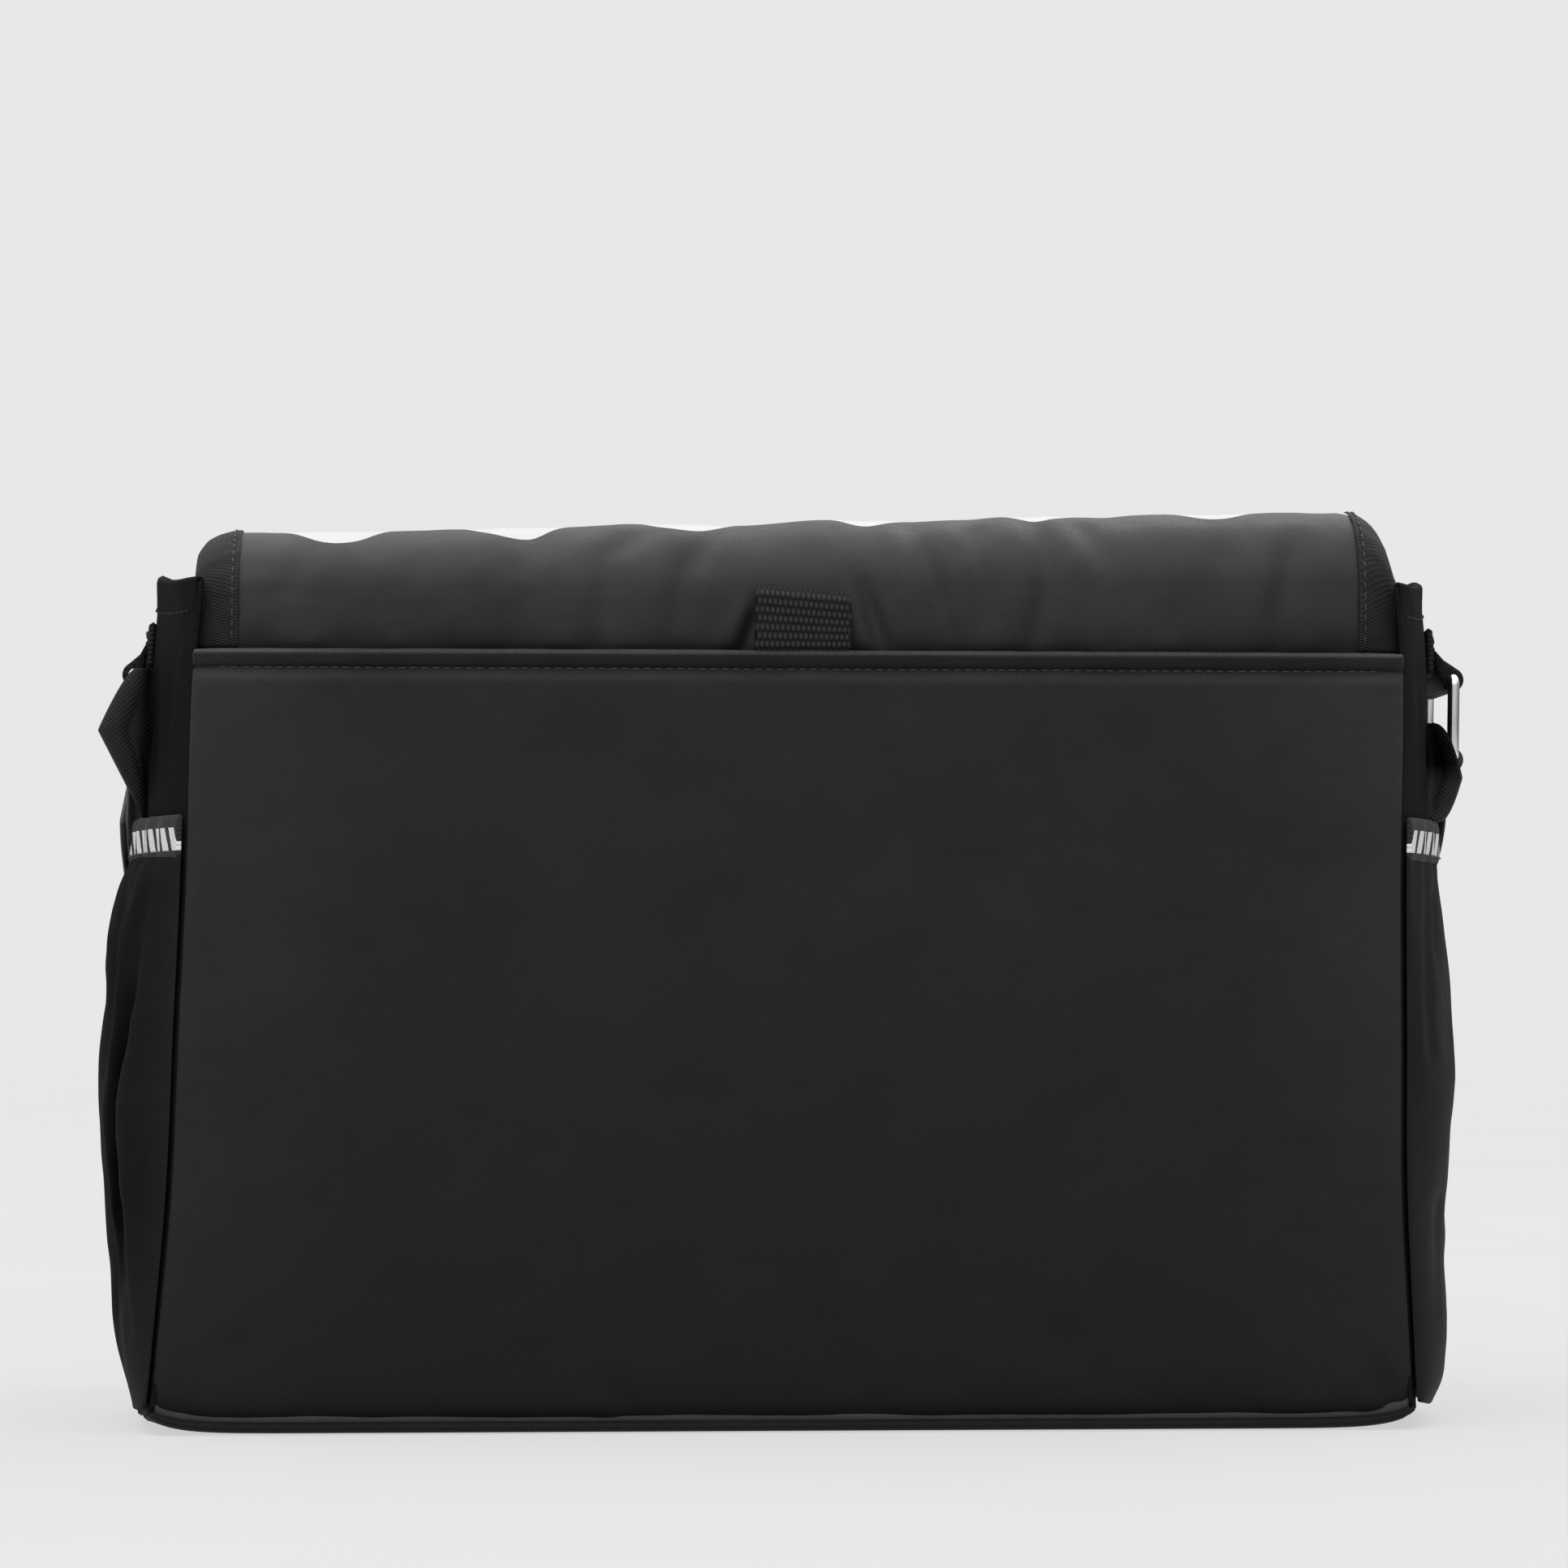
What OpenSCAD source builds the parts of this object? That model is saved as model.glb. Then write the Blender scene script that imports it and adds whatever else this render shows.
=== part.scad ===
// Messenger bag: a padded nylon body with a slip pocket across the back, elastic-topped
// side pockets, a bound flap closed by magnetic snaps, and a webbing shoulder strap.
// Millimetres. +Z is up, -Y is the front, and the origin is under the middle of the base.

/* [Body] */
// Width of the back at the bottom seam
panel_w = 407; // [400:1:414]
// Width of the back at the top of the slip pocket
panel_top_w = 386; // [380:1:392]
// Depth of the base, from the front seam to the back seam
body_d = 124; // [118:1:130]
// How far each side wall bulges past its seams
side_bulge = 18; // [16:1:20]
// How far the base bulges past them
base_bulge = 5; // [4:1:8]
// Height of the side walls
side_h = 280; // [276:1:284]
// Height of the slip pocket's hem
hem_z = 252; // [248:1:254]
// Height of the front wall
front_h = 270; // [264:1:274]
// Thickness of the shell fabric with its backing
shell_t = 1.5; // [1.2:0.1:1.8]

/* [Padding and lining] */
// Thickness of the padded slip pocket
pocket_t = 3; // [2.5:0.5:3.5]
// Room inside the slip pocket
pocket_gap = 8; // [7.5:0.5:8]
// Thickness of the back foam
back_foam_t = 4; // [3:0.5:5]
// Thickness of the front foam
front_foam_t = 3; // [2:0.5:4]
// Thickness of the lining
lining_t = 1; // [0.8:0.1:1.2]

/* [Side pockets] */
// Height at which the elastic tape starts
elastic_z = 185; // [182:1:190]
// Width of the elastic tape
elastic_w = 13; // [10:1:15]
// How far the pocket stands past the side wall at its fullest
pocket_bulge = 10.5; // [9:0.5:12]
// How far the mouth stands past the side wall
mouth_bulge = 8; // [7:0.5:9]

/* [Front pocket] */
// Width of the front pocket
front_pocket_w = 300; // [280:5:320]
// Height of the front pocket's mouth
front_pocket_h = 190; // [180:1:200]
// Depth of the front pocket
front_pocket_d = 12; // [11:0.5:12]

/* [Flap] */
// Width of the flap
flap_w = 386; // [380:1:388]
// Thickness of the padded flap
flap_t = 3; // [3:0.5:3.5]
// Height of the flap's upper face
flap_top_z = 297; // [295:1:300]
// Height of the flap's lower edge
flap_end_z = 60; // [50:1:75]
// Width of the tape that binds the flap
tape_w = 12; // [10:1:14]

/* [Strap] */
// Width of the strap webbing
strap_w = 38; // [36:1:38]
// Thickness of the strap webbing
strap_t = 2; // [1.6:0.1:2]
// Radius of the ring wire
wire_r = 2; // [1.8:0.1:2.2]
// Width of the hanging loop
loop_w = 30; // [25:1:32]

/* [Hidden] */
$fn = 64;
eps = 0.05;
tape_t = 0.8;
base_t = 3;
board_t = 2.2;
half_d = body_d / 2;
half_panel = panel_w / 2;
pocket_chord = half_d - 2;
pocket_low = base_t + 2;

// Layers from the back seam inwards, then from the front seam inwards
back_pocket_in = half_d - pocket_t;
back_out = back_pocket_in - pocket_gap;
back_in = back_out - shell_t;
back_lining_out = back_in - back_foam_t;
back_lining_in = back_lining_out - lining_t;
front_in = -half_d + shell_t;
front_lining_out = front_in + front_foam_t;
front_lining_in = front_lining_out + lining_t;

// Base board, inside the lining's floor
lining_half_w = 190.5;
floor_z = base_t + board_t;

// Front pocket and flap
front_pocket_y = -half_d - front_pocket_d;
snap_gap = 3;
flap_front_in = front_pocket_y - snap_gap;
flap_front_out = flap_front_in - flap_t;
flap_half_w = flap_w / 2;
flap_under_z = flap_top_z - flap_t;
flap_cloth_t = 0.8; // the flap's shell, and its lining
flap_wadding_t = flap_t - 2 * flap_cloth_t;
back_bend_r = 22;
front_bend_r = 20;
bend_steps = 12;
root_turn = 84; // how far round the back bend the sewn end goes
front_turn = [96, 180]; // where the front drop's bend starts and ends
back_bend = [back_out + flap_t / 2 - back_bend_r, flap_top_z - flap_t / 2 - back_bend_r];
front_bend = [flap_front_out + flap_t / 2 + front_bend_r, flap_top_z - flap_t / 2 - front_bend_r];
back_h = back_bend[1] - shell_t;
flap_corner_r = 28;
snap_x = 85;
snap_z = 95;
snap_r = 9;

// Strap anchors
swing_z = 252;
bar_gap = 0.3; // between a ring's wire and the webbing round it
ring_x = 223.5;
ring_top_z = 246.5;
ring_low_z = 219.5;
ring_half = strap_w / 2 + wire_r + 1;
side_x = half_panel + side_bulge - (panel_w - panel_top_w) / 2 * swing_z / hem_z;
patch_in = side_x + 0.2;
patch_t = 2;

// Zipped pocket inside the back wall
zip_z = 215;
zip_half = 110;
zip_tape_h = 16;
zip_start = -98;
coil_h = 4;

// Route of the strap from the ring to the middle: centre, then the direction across it
strap_half = [
    [[ring_x, 0, 216], [0, 1, 0]],
    [[226, 0, 207], [0, 1, 0]],
    [[226, -13, 197], [0, 0.83, -0.56]],
    [[223.5, -26, 189], [0, 0.6, -0.8]],
    [[219, -43, 181], [0, 0.5, -0.86]],
    [[212.5, -60, 172], [0, 0.53, -0.85]],
    [[207, -76, 160], [0, 0.66, -0.75]],
    [[204.6, -88, 144], [0, 0.83, -0.56]],
    [[204, -97, 124], [0, 0.932, -0.362]],
    [[204, -108, 96], [0, 0.932, -0.362]],
    [[204, -119, 68], [0, 0.932, -0.362]],
    [[204, -128, 44], [0, 0.93, -0.36]],
    [[200, -134, 27], [0, 0.94, -0.34]],
    [[190, -137, 15.5], [0, 0.96, -0.28]],
    [[174, -139, 7.6], [0, 0.98, -0.2]],
    [[153, -140, 3.2], [0, 0.995, -0.1]],
    [[124, -141, 1.1], [0, 1, 0]],
    [[70, -142, 1], [0, 1, 0]],
    [[0, -142, 1], [0, 1, 0]]
];
strap_steps = 2;
tail_keys = 11;
slider_at = [204, -108, 96];
slider_lean = atan(11 / 28);

// ---- Shared shapes ----

// Half the width between the side seams at a height
function half_w(z) = half_panel - (panel_w - panel_top_w) / 2 * z / hem_z;

// How far an arc between two edges stands out at depth y
function arc_rise(y, chord, rise) =
    let (r = (chord * chord + rise * rise) / (2 * rise)) sqrt(r * r - y * y) - (r - rise);

// The side wall is narrow at the base and full from a quarter of its height up
function wall_rise(z) = lookup(z, [
    [0, base_bulge], [30, 0.7 * side_bulge], [70, side_bulge], [side_h + 10, side_bulge]
]);

// Outer face of the side wall
function wall_x(z, y) = half_w(z) + arc_rise(y, half_d, wall_rise(z));

// How far the side pocket's cloth stands off the wall behind it
function pocket_room(z, y) = sqrt(max(0, 1 - pow(y / pocket_chord, 2))) * lookup(z, [
    [pocket_low, 0.1], [30, 2.5], [60, 5], [110, pocket_bulge - shell_t],
    [elastic_z, mouth_bulge - shell_t], [elastic_z + elastic_w, mouth_bulge - shell_t]
]);

function steps_between(low, high, count) = [for (i = [0 : count]) low + (high - low) * i / count];

module upright(y0, y1) {
    translate([0, y1, 0]) rotate([90, 0, 0]) linear_extrude(y1 - y0) children();
}

// A wall across the bag between two depths and two heights, as wide as the side walls leave
module cross_wall(y0, y1, z0, z1) {
    y = min(half_d, max(abs(y0), abs(y1)));
    heights = concat([z0], [for (z = [30, 70]) if (z > z0 && z < z1) z], [z1]);
    edge = [for (z = heights) [wall_x(z, y) - shell_t - 2 * eps, z]];
    upright(y0, y1) polygon(concat(
        edge,
        [for (i = [len(edge) - 1 : -1 : 0]) [-edge[i][0], edge[i][1]]]
    ));
}

// Closes a loop of m points, counted from a first index, by strips between its two halves
function cap(m, first) = [for (k = [0 : m / 2 - 2]) for (f = [
    [first + k, first + k + 1, first + m - 2 - k],
    [first + k, first + m - 2 - k, first + m - 1 - k]
]) f];

function turned(faces) = [for (f = faces) [f[2], f[1], f[0]]];

// Two triangles over one four-sided patch, split along either diagonal
function patch(a, b, c, d, other) = other ? [[a, b, c], [a, c, d]] : [[a, b, d], [b, c, d]];

// A solid through equal loops of points, closed at its first and last loop
module skin(loops, other = false) {
    n = len(loops);
    m = len(loops[0]);
    polyhedron(
        points = [for (loop = loops) for (p = loop) p],
        faces = concat(
            turned(cap(m, 0)),
            [for (i = [0 : n - 2]) for (k = [0 : m - 1])
                let (a = m * i + k, b = m * i + (k + 1) % m)
                for (f = patch(a, b, b + m, a + m, other)) f],
            cap(m, m * (n - 1))
        )
    );
}

module mirrored(side) {
    mirror([side < 0 ? 1 : 0, 0, 0]) children();
}

// A sheet that follows the side wall, between two distances past it
module wall_sheet(side, heights, depths, inner, outer) {
    mirrored(side) skin([for (y = depths) concat(
        [for (z = heights) [wall_x(z, y) + outer, y, z]],
        [for (i = [len(heights) - 1 : -1 : 0]) [wall_x(heights[i], y) + inner, y, heights[i]]]
    )]);
}

// ---- Body ----

module base_plan() {
    r = (half_d * half_d + base_bulge * base_bulge) / (2 * base_bulge);
    square([panel_w, body_d], center = true);
    for (side = [-1, 1]) intersection() {
        translate([side * (half_panel + base_bulge - r), 0]) circle(r = r, $fn = 400);
        translate([side * half_panel, 0]) square([4 * base_bulge, body_d], center = true);
    }
}

module base_panel() {
    color([0.07, 0.07, 0.07]) linear_extrude(base_t) base_plan();
}

module base_board() {
    color([0.2, 0.2, 0.2])
        translate([-lining_half_w, front_lining_out + eps, base_t])
            cube([2 * lining_half_w, back_lining_out - front_lining_out - 2 * eps, board_t]);
}

module back_panel() {
    color([0.1, 0.1, 0.1]) cross_wall(back_in, back_out, base_t, back_h);
}

module back_foam() {
    color([0.75, 0.75, 0.7]) cross_wall(back_lining_out, back_in, base_t, back_h - 6);
}

module back_pocket() {
    color([0.1, 0.1, 0.1]) cross_wall(back_pocket_in, half_d, base_t, hem_z);
}

module front_panel() {
    color([0.1, 0.1, 0.1]) cross_wall(-half_d, front_in, base_t, front_h);
}

module front_foam() {
    color([0.75, 0.75, 0.7]) cross_wall(front_in, front_lining_out, base_t, front_h - 12);
}

module gusset(side) {
    heights = [base_t, 15, 30, 50, 70, side_h];
    color([0.08, 0.08, 0.08])
        wall_sheet(side, heights, steps_between(-half_d, half_d, 24), -shell_t, 0);
}

// Plan of the lining at one height, inset by a distance
function lining_loop(z, inset) =
    let (ys = steps_between(front_lining_out + inset, back_lining_out - inset, 12))
    let (edge = [for (y = ys) [wall_x(z, y) - shell_t - 3 * eps - inset, y, z]])
    concat([for (i = [len(edge) - 1 : -1 : 0]) [-edge[i][0], edge[i][1], z]], edge);

module lining() {
    heights = [floor_z, 30, 70, front_h - 2];
    rising = [for (z = heights) lining_loop(z, 0)];
    falling = [for (i = [3 : -1 : 1]) lining_loop(heights[i], lining_t)];
    color([0.25, 0.25, 0.26]) skin(concat(rising, falling, [lining_loop(floor_z + lining_t, lining_t)]));
}

// Flat slip pocket on the front wall of the lining
module inner_pocket() {
    half = 120;
    room = 6;
    low = floor_z + lining_t;
    color([0.22, 0.22, 0.23]) difference() {
        translate([-half, front_lining_in, low]) cube([2 * half, room + lining_t, 140]);
        translate([-half + lining_t, front_lining_in - eps, low + lining_t])
            cube([2 * (half - lining_t), room + eps, 140]);
    }
}

// Folded tape over the top edges of the side walls and the front wall
module mouth_binding() {
    tape_h = 10;
    color([0.06, 0.06, 0.06]) {
        for (side = [-1, 1]) mirrored(side) skin([for (y = steps_between(-half_d + 2, 46, 20))
            let (out = wall_x(side_h, y) + eps, in = out - shell_t - 2 * eps)
            let (low = side_h - tape_h, roof = side_h + eps, top = roof + tape_t)
            let (shift = wall_x(low, y) - wall_x(side_h, y))
            [
                [out + shift + tape_t, y, low], [out + tape_t, y, top], [in - tape_t, y, top],
                [in + shift - tape_t, y, low], [in + shift, y, low], [in, y, roof],
                [out, y, roof], [out + shift, y, low]
            ]
        ]);
        difference() {
            cross_wall(-half_d - tape_t, front_in + tape_t, front_h - tape_h, front_h + tape_t);
            translate([-300, -half_d, 0]) cube([600, shell_t, front_h]);
        }
    }
}

// Open-topped box pocket under the flap
module front_pocket() {
    wall = 1.5;
    half = front_pocket_w / 2;
    low = 12;
    color([0.1, 0.1, 0.1]) difference() {
        translate([-half, front_pocket_y, low])
            cube([2 * half, front_pocket_d, front_pocket_h - low]);
        translate([-half + wall, front_pocket_y + wall, low + wall])
            cube([2 * (half - wall), front_pocket_d, front_pocket_h]);
    }
}

// ---- Side pockets ----

// A sheet of the side pocket's cloth between heights, standing off the wall
module pocket_sheet(side, heights) {
    mirrored(side) skin([for (y = steps_between(-pocket_chord, pocket_chord, 24)) concat(
        [for (z = heights) [wall_x(z, y) + pocket_room(z, y) + eps + shell_t, y, z]],
        [for (i = [len(heights) - 1 : -1 : 0])
            let (z = heights[i]) [wall_x(z, y) + pocket_room(z, y) + eps, y, z]]
    )]);
}

module side_pocket(side) {
    color([0.09, 0.09, 0.09]) pocket_sheet(side, [pocket_low, 15, 30, 45, 60, 85, 110, 150, elastic_z]);
}

module pocket_elastic(side) {
    color([0.03, 0.03, 0.03]) pocket_sheet(side, [elastic_z, elastic_z + elastic_w]);
}

// ---- Snaps, hanging loop and zip ----

module disc_y(r, y0, y1) {
    translate([0, y1, 0]) rotate([90, 0, 0]) cylinder(r = r, h = y1 - y0);
}

module snap_socket(side) {
    color([0.62, 0.62, 0.64]) translate([side * snap_x, 0, snap_z]) difference() {
        disc_y(snap_r, front_pocket_y - 1.5, front_pocket_y);
        disc_y(4.5, front_pocket_y - 2, front_pocket_y - 0.5);
    }
}

module snap_stud(side) {
    color([0.62, 0.62, 0.64]) translate([side * snap_x, 0, snap_z]) {
        disc_y(snap_r, flap_front_in, flap_front_in + 1.1);
        disc_y(2.5, flap_front_in, flap_front_in + 1.9);
    }
}

// Webbing folded into a loop, caught in the mouth of the slip pocket against the flap
module hanging_loop() {
    t = 1.8;
    gap_r = 2.4;
    near = back_out + flap_t;
    mid = near + t + gap_r;
    top = hem_z + 16;
    color([0.05, 0.05, 0.05]) translate([-loop_w / 2, 0, 0]) rotate([90, 0, 90]) linear_extrude(loop_w)
        difference() {
            union() {
                translate([mid, top]) circle(r = gap_r + t, $fn = 40);
                translate([near, hem_z + 2.5]) square([2 * (gap_r + t), top - hem_z - 2.5]);
                translate([near, hem_z - 6]) square([2 * t, 10]);
            }
            translate([mid, top]) circle(r = gap_r, $fn = 40);
            translate([mid - gap_r, hem_z + 5.5]) square([2 * gap_r, top - hem_z - 5.5]);
        }
}

module zip_window(half, height, y0, y1) {
    translate([-half, y0, zip_z - height / 2]) cube([2 * half, y1 - y0, height]);
}

module zip_welt() {
    color([0.12, 0.12, 0.12]) difference() {
        zip_window(zip_half + 12, zip_tape_h + 18, back_lining_in - tape_t, back_lining_in);
        zip_window(zip_half, zip_tape_h, back_lining_in - 2, back_lining_in + 1);
    }
}

module zip_tape() {
    color([0.05, 0.05, 0.05]) zip_window(zip_half, zip_tape_h, back_lining_in - tape_t, back_lining_in);
}

module zip_coil() {
    color([0.04, 0.04, 0.04])
        zip_window(zip_half - 2, coil_h, back_lining_in - tape_t - 1.4, back_lining_in - tape_t);
}

// Slider body straddling the coil, with a bridge for the pull
module zip_slider() {
    coil_y = back_lining_in - tape_t - 1.4;
    color([0.7, 0.7, 0.72]) translate([zip_start, 0, zip_z]) {
        difference() {
            translate([-6, coil_y - 1.6, -5]) cube([12, 2.6, 10]);
            translate([-7, coil_y - 0.35, -coil_h / 2 - 0.4]) cube([14, 3, coil_h + 0.8]);
        }
        translate([-1, coil_y - 7, -4.5]) difference() {
            cube([2, 5.5, 9]);
            translate([-1, 1.1, 2]) cube([4, 3.7, 5]);
        }
    }
}

zip_pivot_y = back_lining_in - tape_t - 1.4 - 4.6;

// Pull with two ears and a pin through the bridge
module zip_pull() {
    color([0.7, 0.7, 0.72]) translate([zip_start, zip_pivot_y, zip_z]) {
        difference() {
            union() {
                translate([-4, -0.6, -24]) cube([8, 1.2, 24]);
                translate([-4, 0, 0]) rotate([0, 90, 0]) cylinder(r = 2.4, h = 8);
            }
            translate([-1.4, -6, -6]) cube([2.8, 12, 12]);
            translate([-2, -5, -20]) cube([4, 10, 8]);
        }
        translate([-1.6, 0, 0]) rotate([0, 90, 0]) cylinder(r = 0.9, h = 3.2);
    }
}

// ---- Flap ----

// Profile in the YZ plane of a layer round one bend, between two radii and two angles
module bend_strip(centre, low, high, from, to) {
    angles = steps_between(from, to, bend_steps);
    polygon(concat(
        [for (a = angles) centre + low * [cos(a), sin(a)]],
        [for (i = [bend_steps : -1 : 0]) centre + high * [cos(angles[i]), sin(angles[i])]]
    ));
}

// Extrudes a YZ profile across the bag
module across(x0, x1) {
    translate([x0, 0, 0]) rotate([90, 0, 90]) linear_extrude(x1 - x0) children();
}

module root_profile(grow, low_z) {
    low = back_bend_r - flap_t / 2 - grow;
    high = back_bend_r + flap_t / 2 + grow;
    angles = steps_between(0, root_turn, bend_steps);
    polygon(concat(
        [back_bend + [low, low_z - back_bend[1]]],
        [for (a = angles) back_bend + low * [cos(a), sin(a)]],
        [for (i = [bend_steps : -1 : 0]) back_bend + high * [cos(angles[i]), sin(angles[i])]],
        [back_bend + [high, low_z - back_bend[1]]]
    ));
}

// The sewn-down end of the flap, up the back and round the first bend
module flap_root() {
    color([0.13, 0.13, 0.13]) across(-flap_half_w, flap_half_w) root_profile(0, hem_z - 8);
}

module flap_root_binding() {
    color([0.09, 0.09, 0.09]) for (side = [-1, 1]) mirrored(side) difference() {
        across(flap_half_w - tape_w, flap_half_w + tape_t) intersection() {
            root_profile(tape_t, hem_z + 1);
            translate([back_out - 60, hem_z + 1]) square([80, 80]);
        }
        across(flap_half_w - tape_w - 1, flap_half_w) root_profile(0, hem_z - 8);
        translate([0, back_in - 5, 0]) cube([300, shell_t + 5, side_h + 1]);
    }
}

module top_layer(z0, z1) {
    length = back_bend[0] - front_bend[0];
    translate([-flap_half_w, front_bend[0], z0]) cube([flap_w, length, z1 - z0]);
}

module flap_top_lining() {
    color([0.25, 0.25, 0.26]) top_layer(flap_under_z, flap_under_z + flap_cloth_t);
}

module flap_top_wadding() {
    low = flap_under_z + flap_cloth_t;
    color([0.8, 0.8, 0.78]) top_layer(low, low + flap_wadding_t);
}

module flap_top_shell() {
    color([0.13, 0.13, 0.13]) top_layer(flap_top_z - flap_cloth_t, flap_top_z);
}

module flap_top_binding() {
    length = back_bend[0] - front_bend[0];
    color([0.09, 0.09, 0.09]) for (side = [-1, 1]) mirrored(side) difference() {
        translate([flap_half_w - tape_w, front_bend[0], flap_under_z - tape_t])
            cube([tape_w + tape_t, length, flap_t + 2 * tape_t]);
        translate([0, front_bend[0] - 1, flap_under_z]) cube([flap_half_w, length + 2, flap_t]);
    }
}

// Outline of the front drop: straight sides and two round lower corners
module drop_outline(grow) {
    half = flap_half_w + grow;
    low = flap_end_z - grow;
    r = flap_corner_r + grow;
    translate([-half, low + r]) square([2 * half, front_bend[1] - low - r]);
    translate([-half + r, low]) square([2 * (half - r), r + 1]);
    for (side = [-1, 1]) translate([side * (half - r), low + r]) circle(r = r);
}

// One layer of the front drop with its share of the bend, between two depths behind the outer face
module drop_layer(near, far) {
    upright(flap_front_out + near, flap_front_out + far) drop_outline(0);
    across(-flap_half_w, flap_half_w)
        bend_strip(front_bend, front_bend_r + flap_t / 2 - far, front_bend_r + flap_t / 2 - near,
            front_turn[0], front_turn[1]);
}

module flap_front_shell() {
    color([0.13, 0.13, 0.13]) drop_layer(0, flap_cloth_t);
}

module flap_front_wadding() {
    color([0.8, 0.8, 0.78]) drop_layer(flap_cloth_t, flap_cloth_t + flap_wadding_t);
}

module flap_front_lining() {
    color([0.25, 0.25, 0.26]) drop_layer(flap_cloth_t + flap_wadding_t, flap_t);
}

module flap_front_binding() {
    color([0.09, 0.09, 0.09]) difference() {
        upright(flap_front_out - tape_t, flap_front_in + tape_t) difference() {
            drop_outline(tape_t);
            translate([0, flap_end_z + tape_w + flap_corner_r])
                translate([-flap_half_w + tape_w, -flap_corner_r]) square([flap_w - 2 * tape_w, 300]);
        }
        upright(flap_front_out, flap_front_in) drop_outline(0);
    }
    color([0.09, 0.09, 0.09]) for (side = [-1, 1]) mirrored(side) difference() {
        across(flap_half_w - tape_w, flap_half_w + tape_t)
            bend_strip(front_bend, front_bend_r - flap_t / 2 - tape_t, front_bend_r + flap_t / 2 + tape_t,
                front_turn[0], front_turn[1]);
        across(flap_half_w - tape_w - 1, flap_half_w)
            bend_strip(front_bend, front_bend_r - flap_t / 2, front_bend_r + flap_t / 2,
                front_turn[0] - 1, front_turn[1] + 1);
    }
}

// ---- Strap, rings and tabs ----

module bar(a, b, r) {
    d = b - a;
    length = norm(d);
    translate(a) rotate([0, acos(d[2] / length), atan2(d[1], d[0])]) cylinder(r = r, h = length);
}

module ring(side) {
    corners = [for (k = [0 : 3]) [
        side * ring_x,
        (k == 0 || k == 3 ? -1 : 1) * ring_half,
        k < 2 ? ring_low_z : ring_top_z
    ]];
    color([0.78, 0.78, 0.8]) for (k = [0 : 3]) {
        bar(corners[k], corners[(k + 1) % 4], wire_r);
        translate(corners[k]) sphere(r = wire_r);
    }
}

// Webbing wrapped once round a bar of the ring
module wrap(side, z, out) {
    inner = wire_r + bar_gap;
    translate([side * ring_x, strap_w / 2, z]) rotate([90, 0, 0]) difference() {
        cylinder(r = inner + out, h = strap_w);
        translate([0, 0, -1]) cylinder(r = inner, h = strap_w + 2);
    }
}

// Tab sewn flat on the side wall
module tab_patch(side) {
    color([0.12, 0.13, 0.13]) mirrored(side)
        translate([patch_in, -strap_w / 2, swing_z - 3]) cube([patch_t, strap_w, 14]);
}

// Free end of the tab, folded round the ring
module tab_loop(side) {
    out = 1.8;
    root_x = patch_in + patch_t + 0.35;
    color([0.12, 0.13, 0.13]) {
        wrap(side, ring_top_z, out);
        mirrored(side) difference() {
            translate([root_x, -strap_w / 2, ring_top_z]) cube([ring_x - root_x, strap_w, 6.5]);
            translate([ring_x, strap_w, ring_top_z]) rotate([90, 0, 0])
                cylinder(r = wire_r + bar_gap + out, h = 2 * strap_w);
        }
    }
}

// The whole route, from the right ring to the left one
strap_keys = concat(
    strap_half,
    [for (i = [len(strap_half) - 2 : -1 : 0])
        [[-strap_half[i][0][0], strap_half[i][0][1], strap_half[i][0][2]],
         [-strap_half[i][1][0], strap_half[i][1][1], strap_half[i][1][2]]]]
);

function clamped(i, list) = list[max(0, min(len(list) - 1, i))];

function unit(v) = v / norm(v);

// Catmull-Rom curve through the centres
function route(list, i, t) =
    let (a = clamped(i - 1, list)[0], b = list[i][0], c = clamped(i + 1, list)[0], d = clamped(i + 2, list)[0])
    0.5 * (2 * b + (c - a) * t + (2 * a - 5 * b + 4 * c - d) * t * t + (3 * b - 3 * c + d - a) * t * t * t);

function route_across(list, i, t) = unit((1 - t) * list[i][1] + t * clamped(i + 1, list)[1]);

function slope(list, i, t) = unit(route(list, i, min(1, t + 0.02)) - route(list, i, max(0, t - 0.02)));

// Four corners of the webbing's section, between two distances along its normal
function section(list, i, t, low, high) =
    let (c = route(list, i, t), d = slope(list, i, t))
    let (n = unit(cross(route_across(list, i, t), d)), w = unit(cross(d, n)))
    [for (p = [[-1, low], [1, low], [1, high], [-1, high]]) c + w * p[0] * strap_w / 2 + n * p[1]];

// A flat band along the route, between two keys and between two distances along its normal
module band(list, first, last, low, high, other = false) {
    rings = [for (i = [first : last - 1]) for (s = [0 : strap_steps - 1])
        section(list, i, s / strap_steps, low, high)];
    skin(concat(rings, [section(list, last - 1, 1, low, high)]), other);
}

module strap() {
    color([0.1, 0.1, 0.1]) {
        band(strap_keys, 0, len(strap_keys) - 1, -strap_t / 2, strap_t / 2);
        for (side = [-1, 1]) wrap(side, ring_low_z, strap_t - 0.1);
    }
}

// Second layer, from below the right ring back through the slider, split to lie flat on the first
module strap_tail() {
    color([0.1, 0.1, 0.1])
        band(strap_keys, 1, tail_keys, -3 * strap_t / 2 - 2 * eps, -strap_t / 2 - 2 * eps, other = true);
}

// Three-bar slider: end bars behind the webbing and the middle bar over it
module strap_slider() {
    length = 28;
    half = strap_w / 2 + 0.6;
    low = -strap_t / 2 - 0.4;
    high = 3 * strap_t / 2 + 0.5;
    color([0.06, 0.06, 0.06]) translate(slider_at) rotate([-slider_lean, 0, 0]) {
        for (side = [-1, 1]) translate([low - 2, side < 0 ? -half - 3 : half, -length / 2])
            cube([high - low + 4, 3, length]);
        for (end = [-1, 1]) translate([low - 2, -half - 1, end * (length / 2 - 1.5) - 1.5])
            cube([2, 2 * half + 2, 3]);
        translate([high, -half - 1, -1.8]) cube([2, 2 * half + 2, 3.6]);
    }
}

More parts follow.
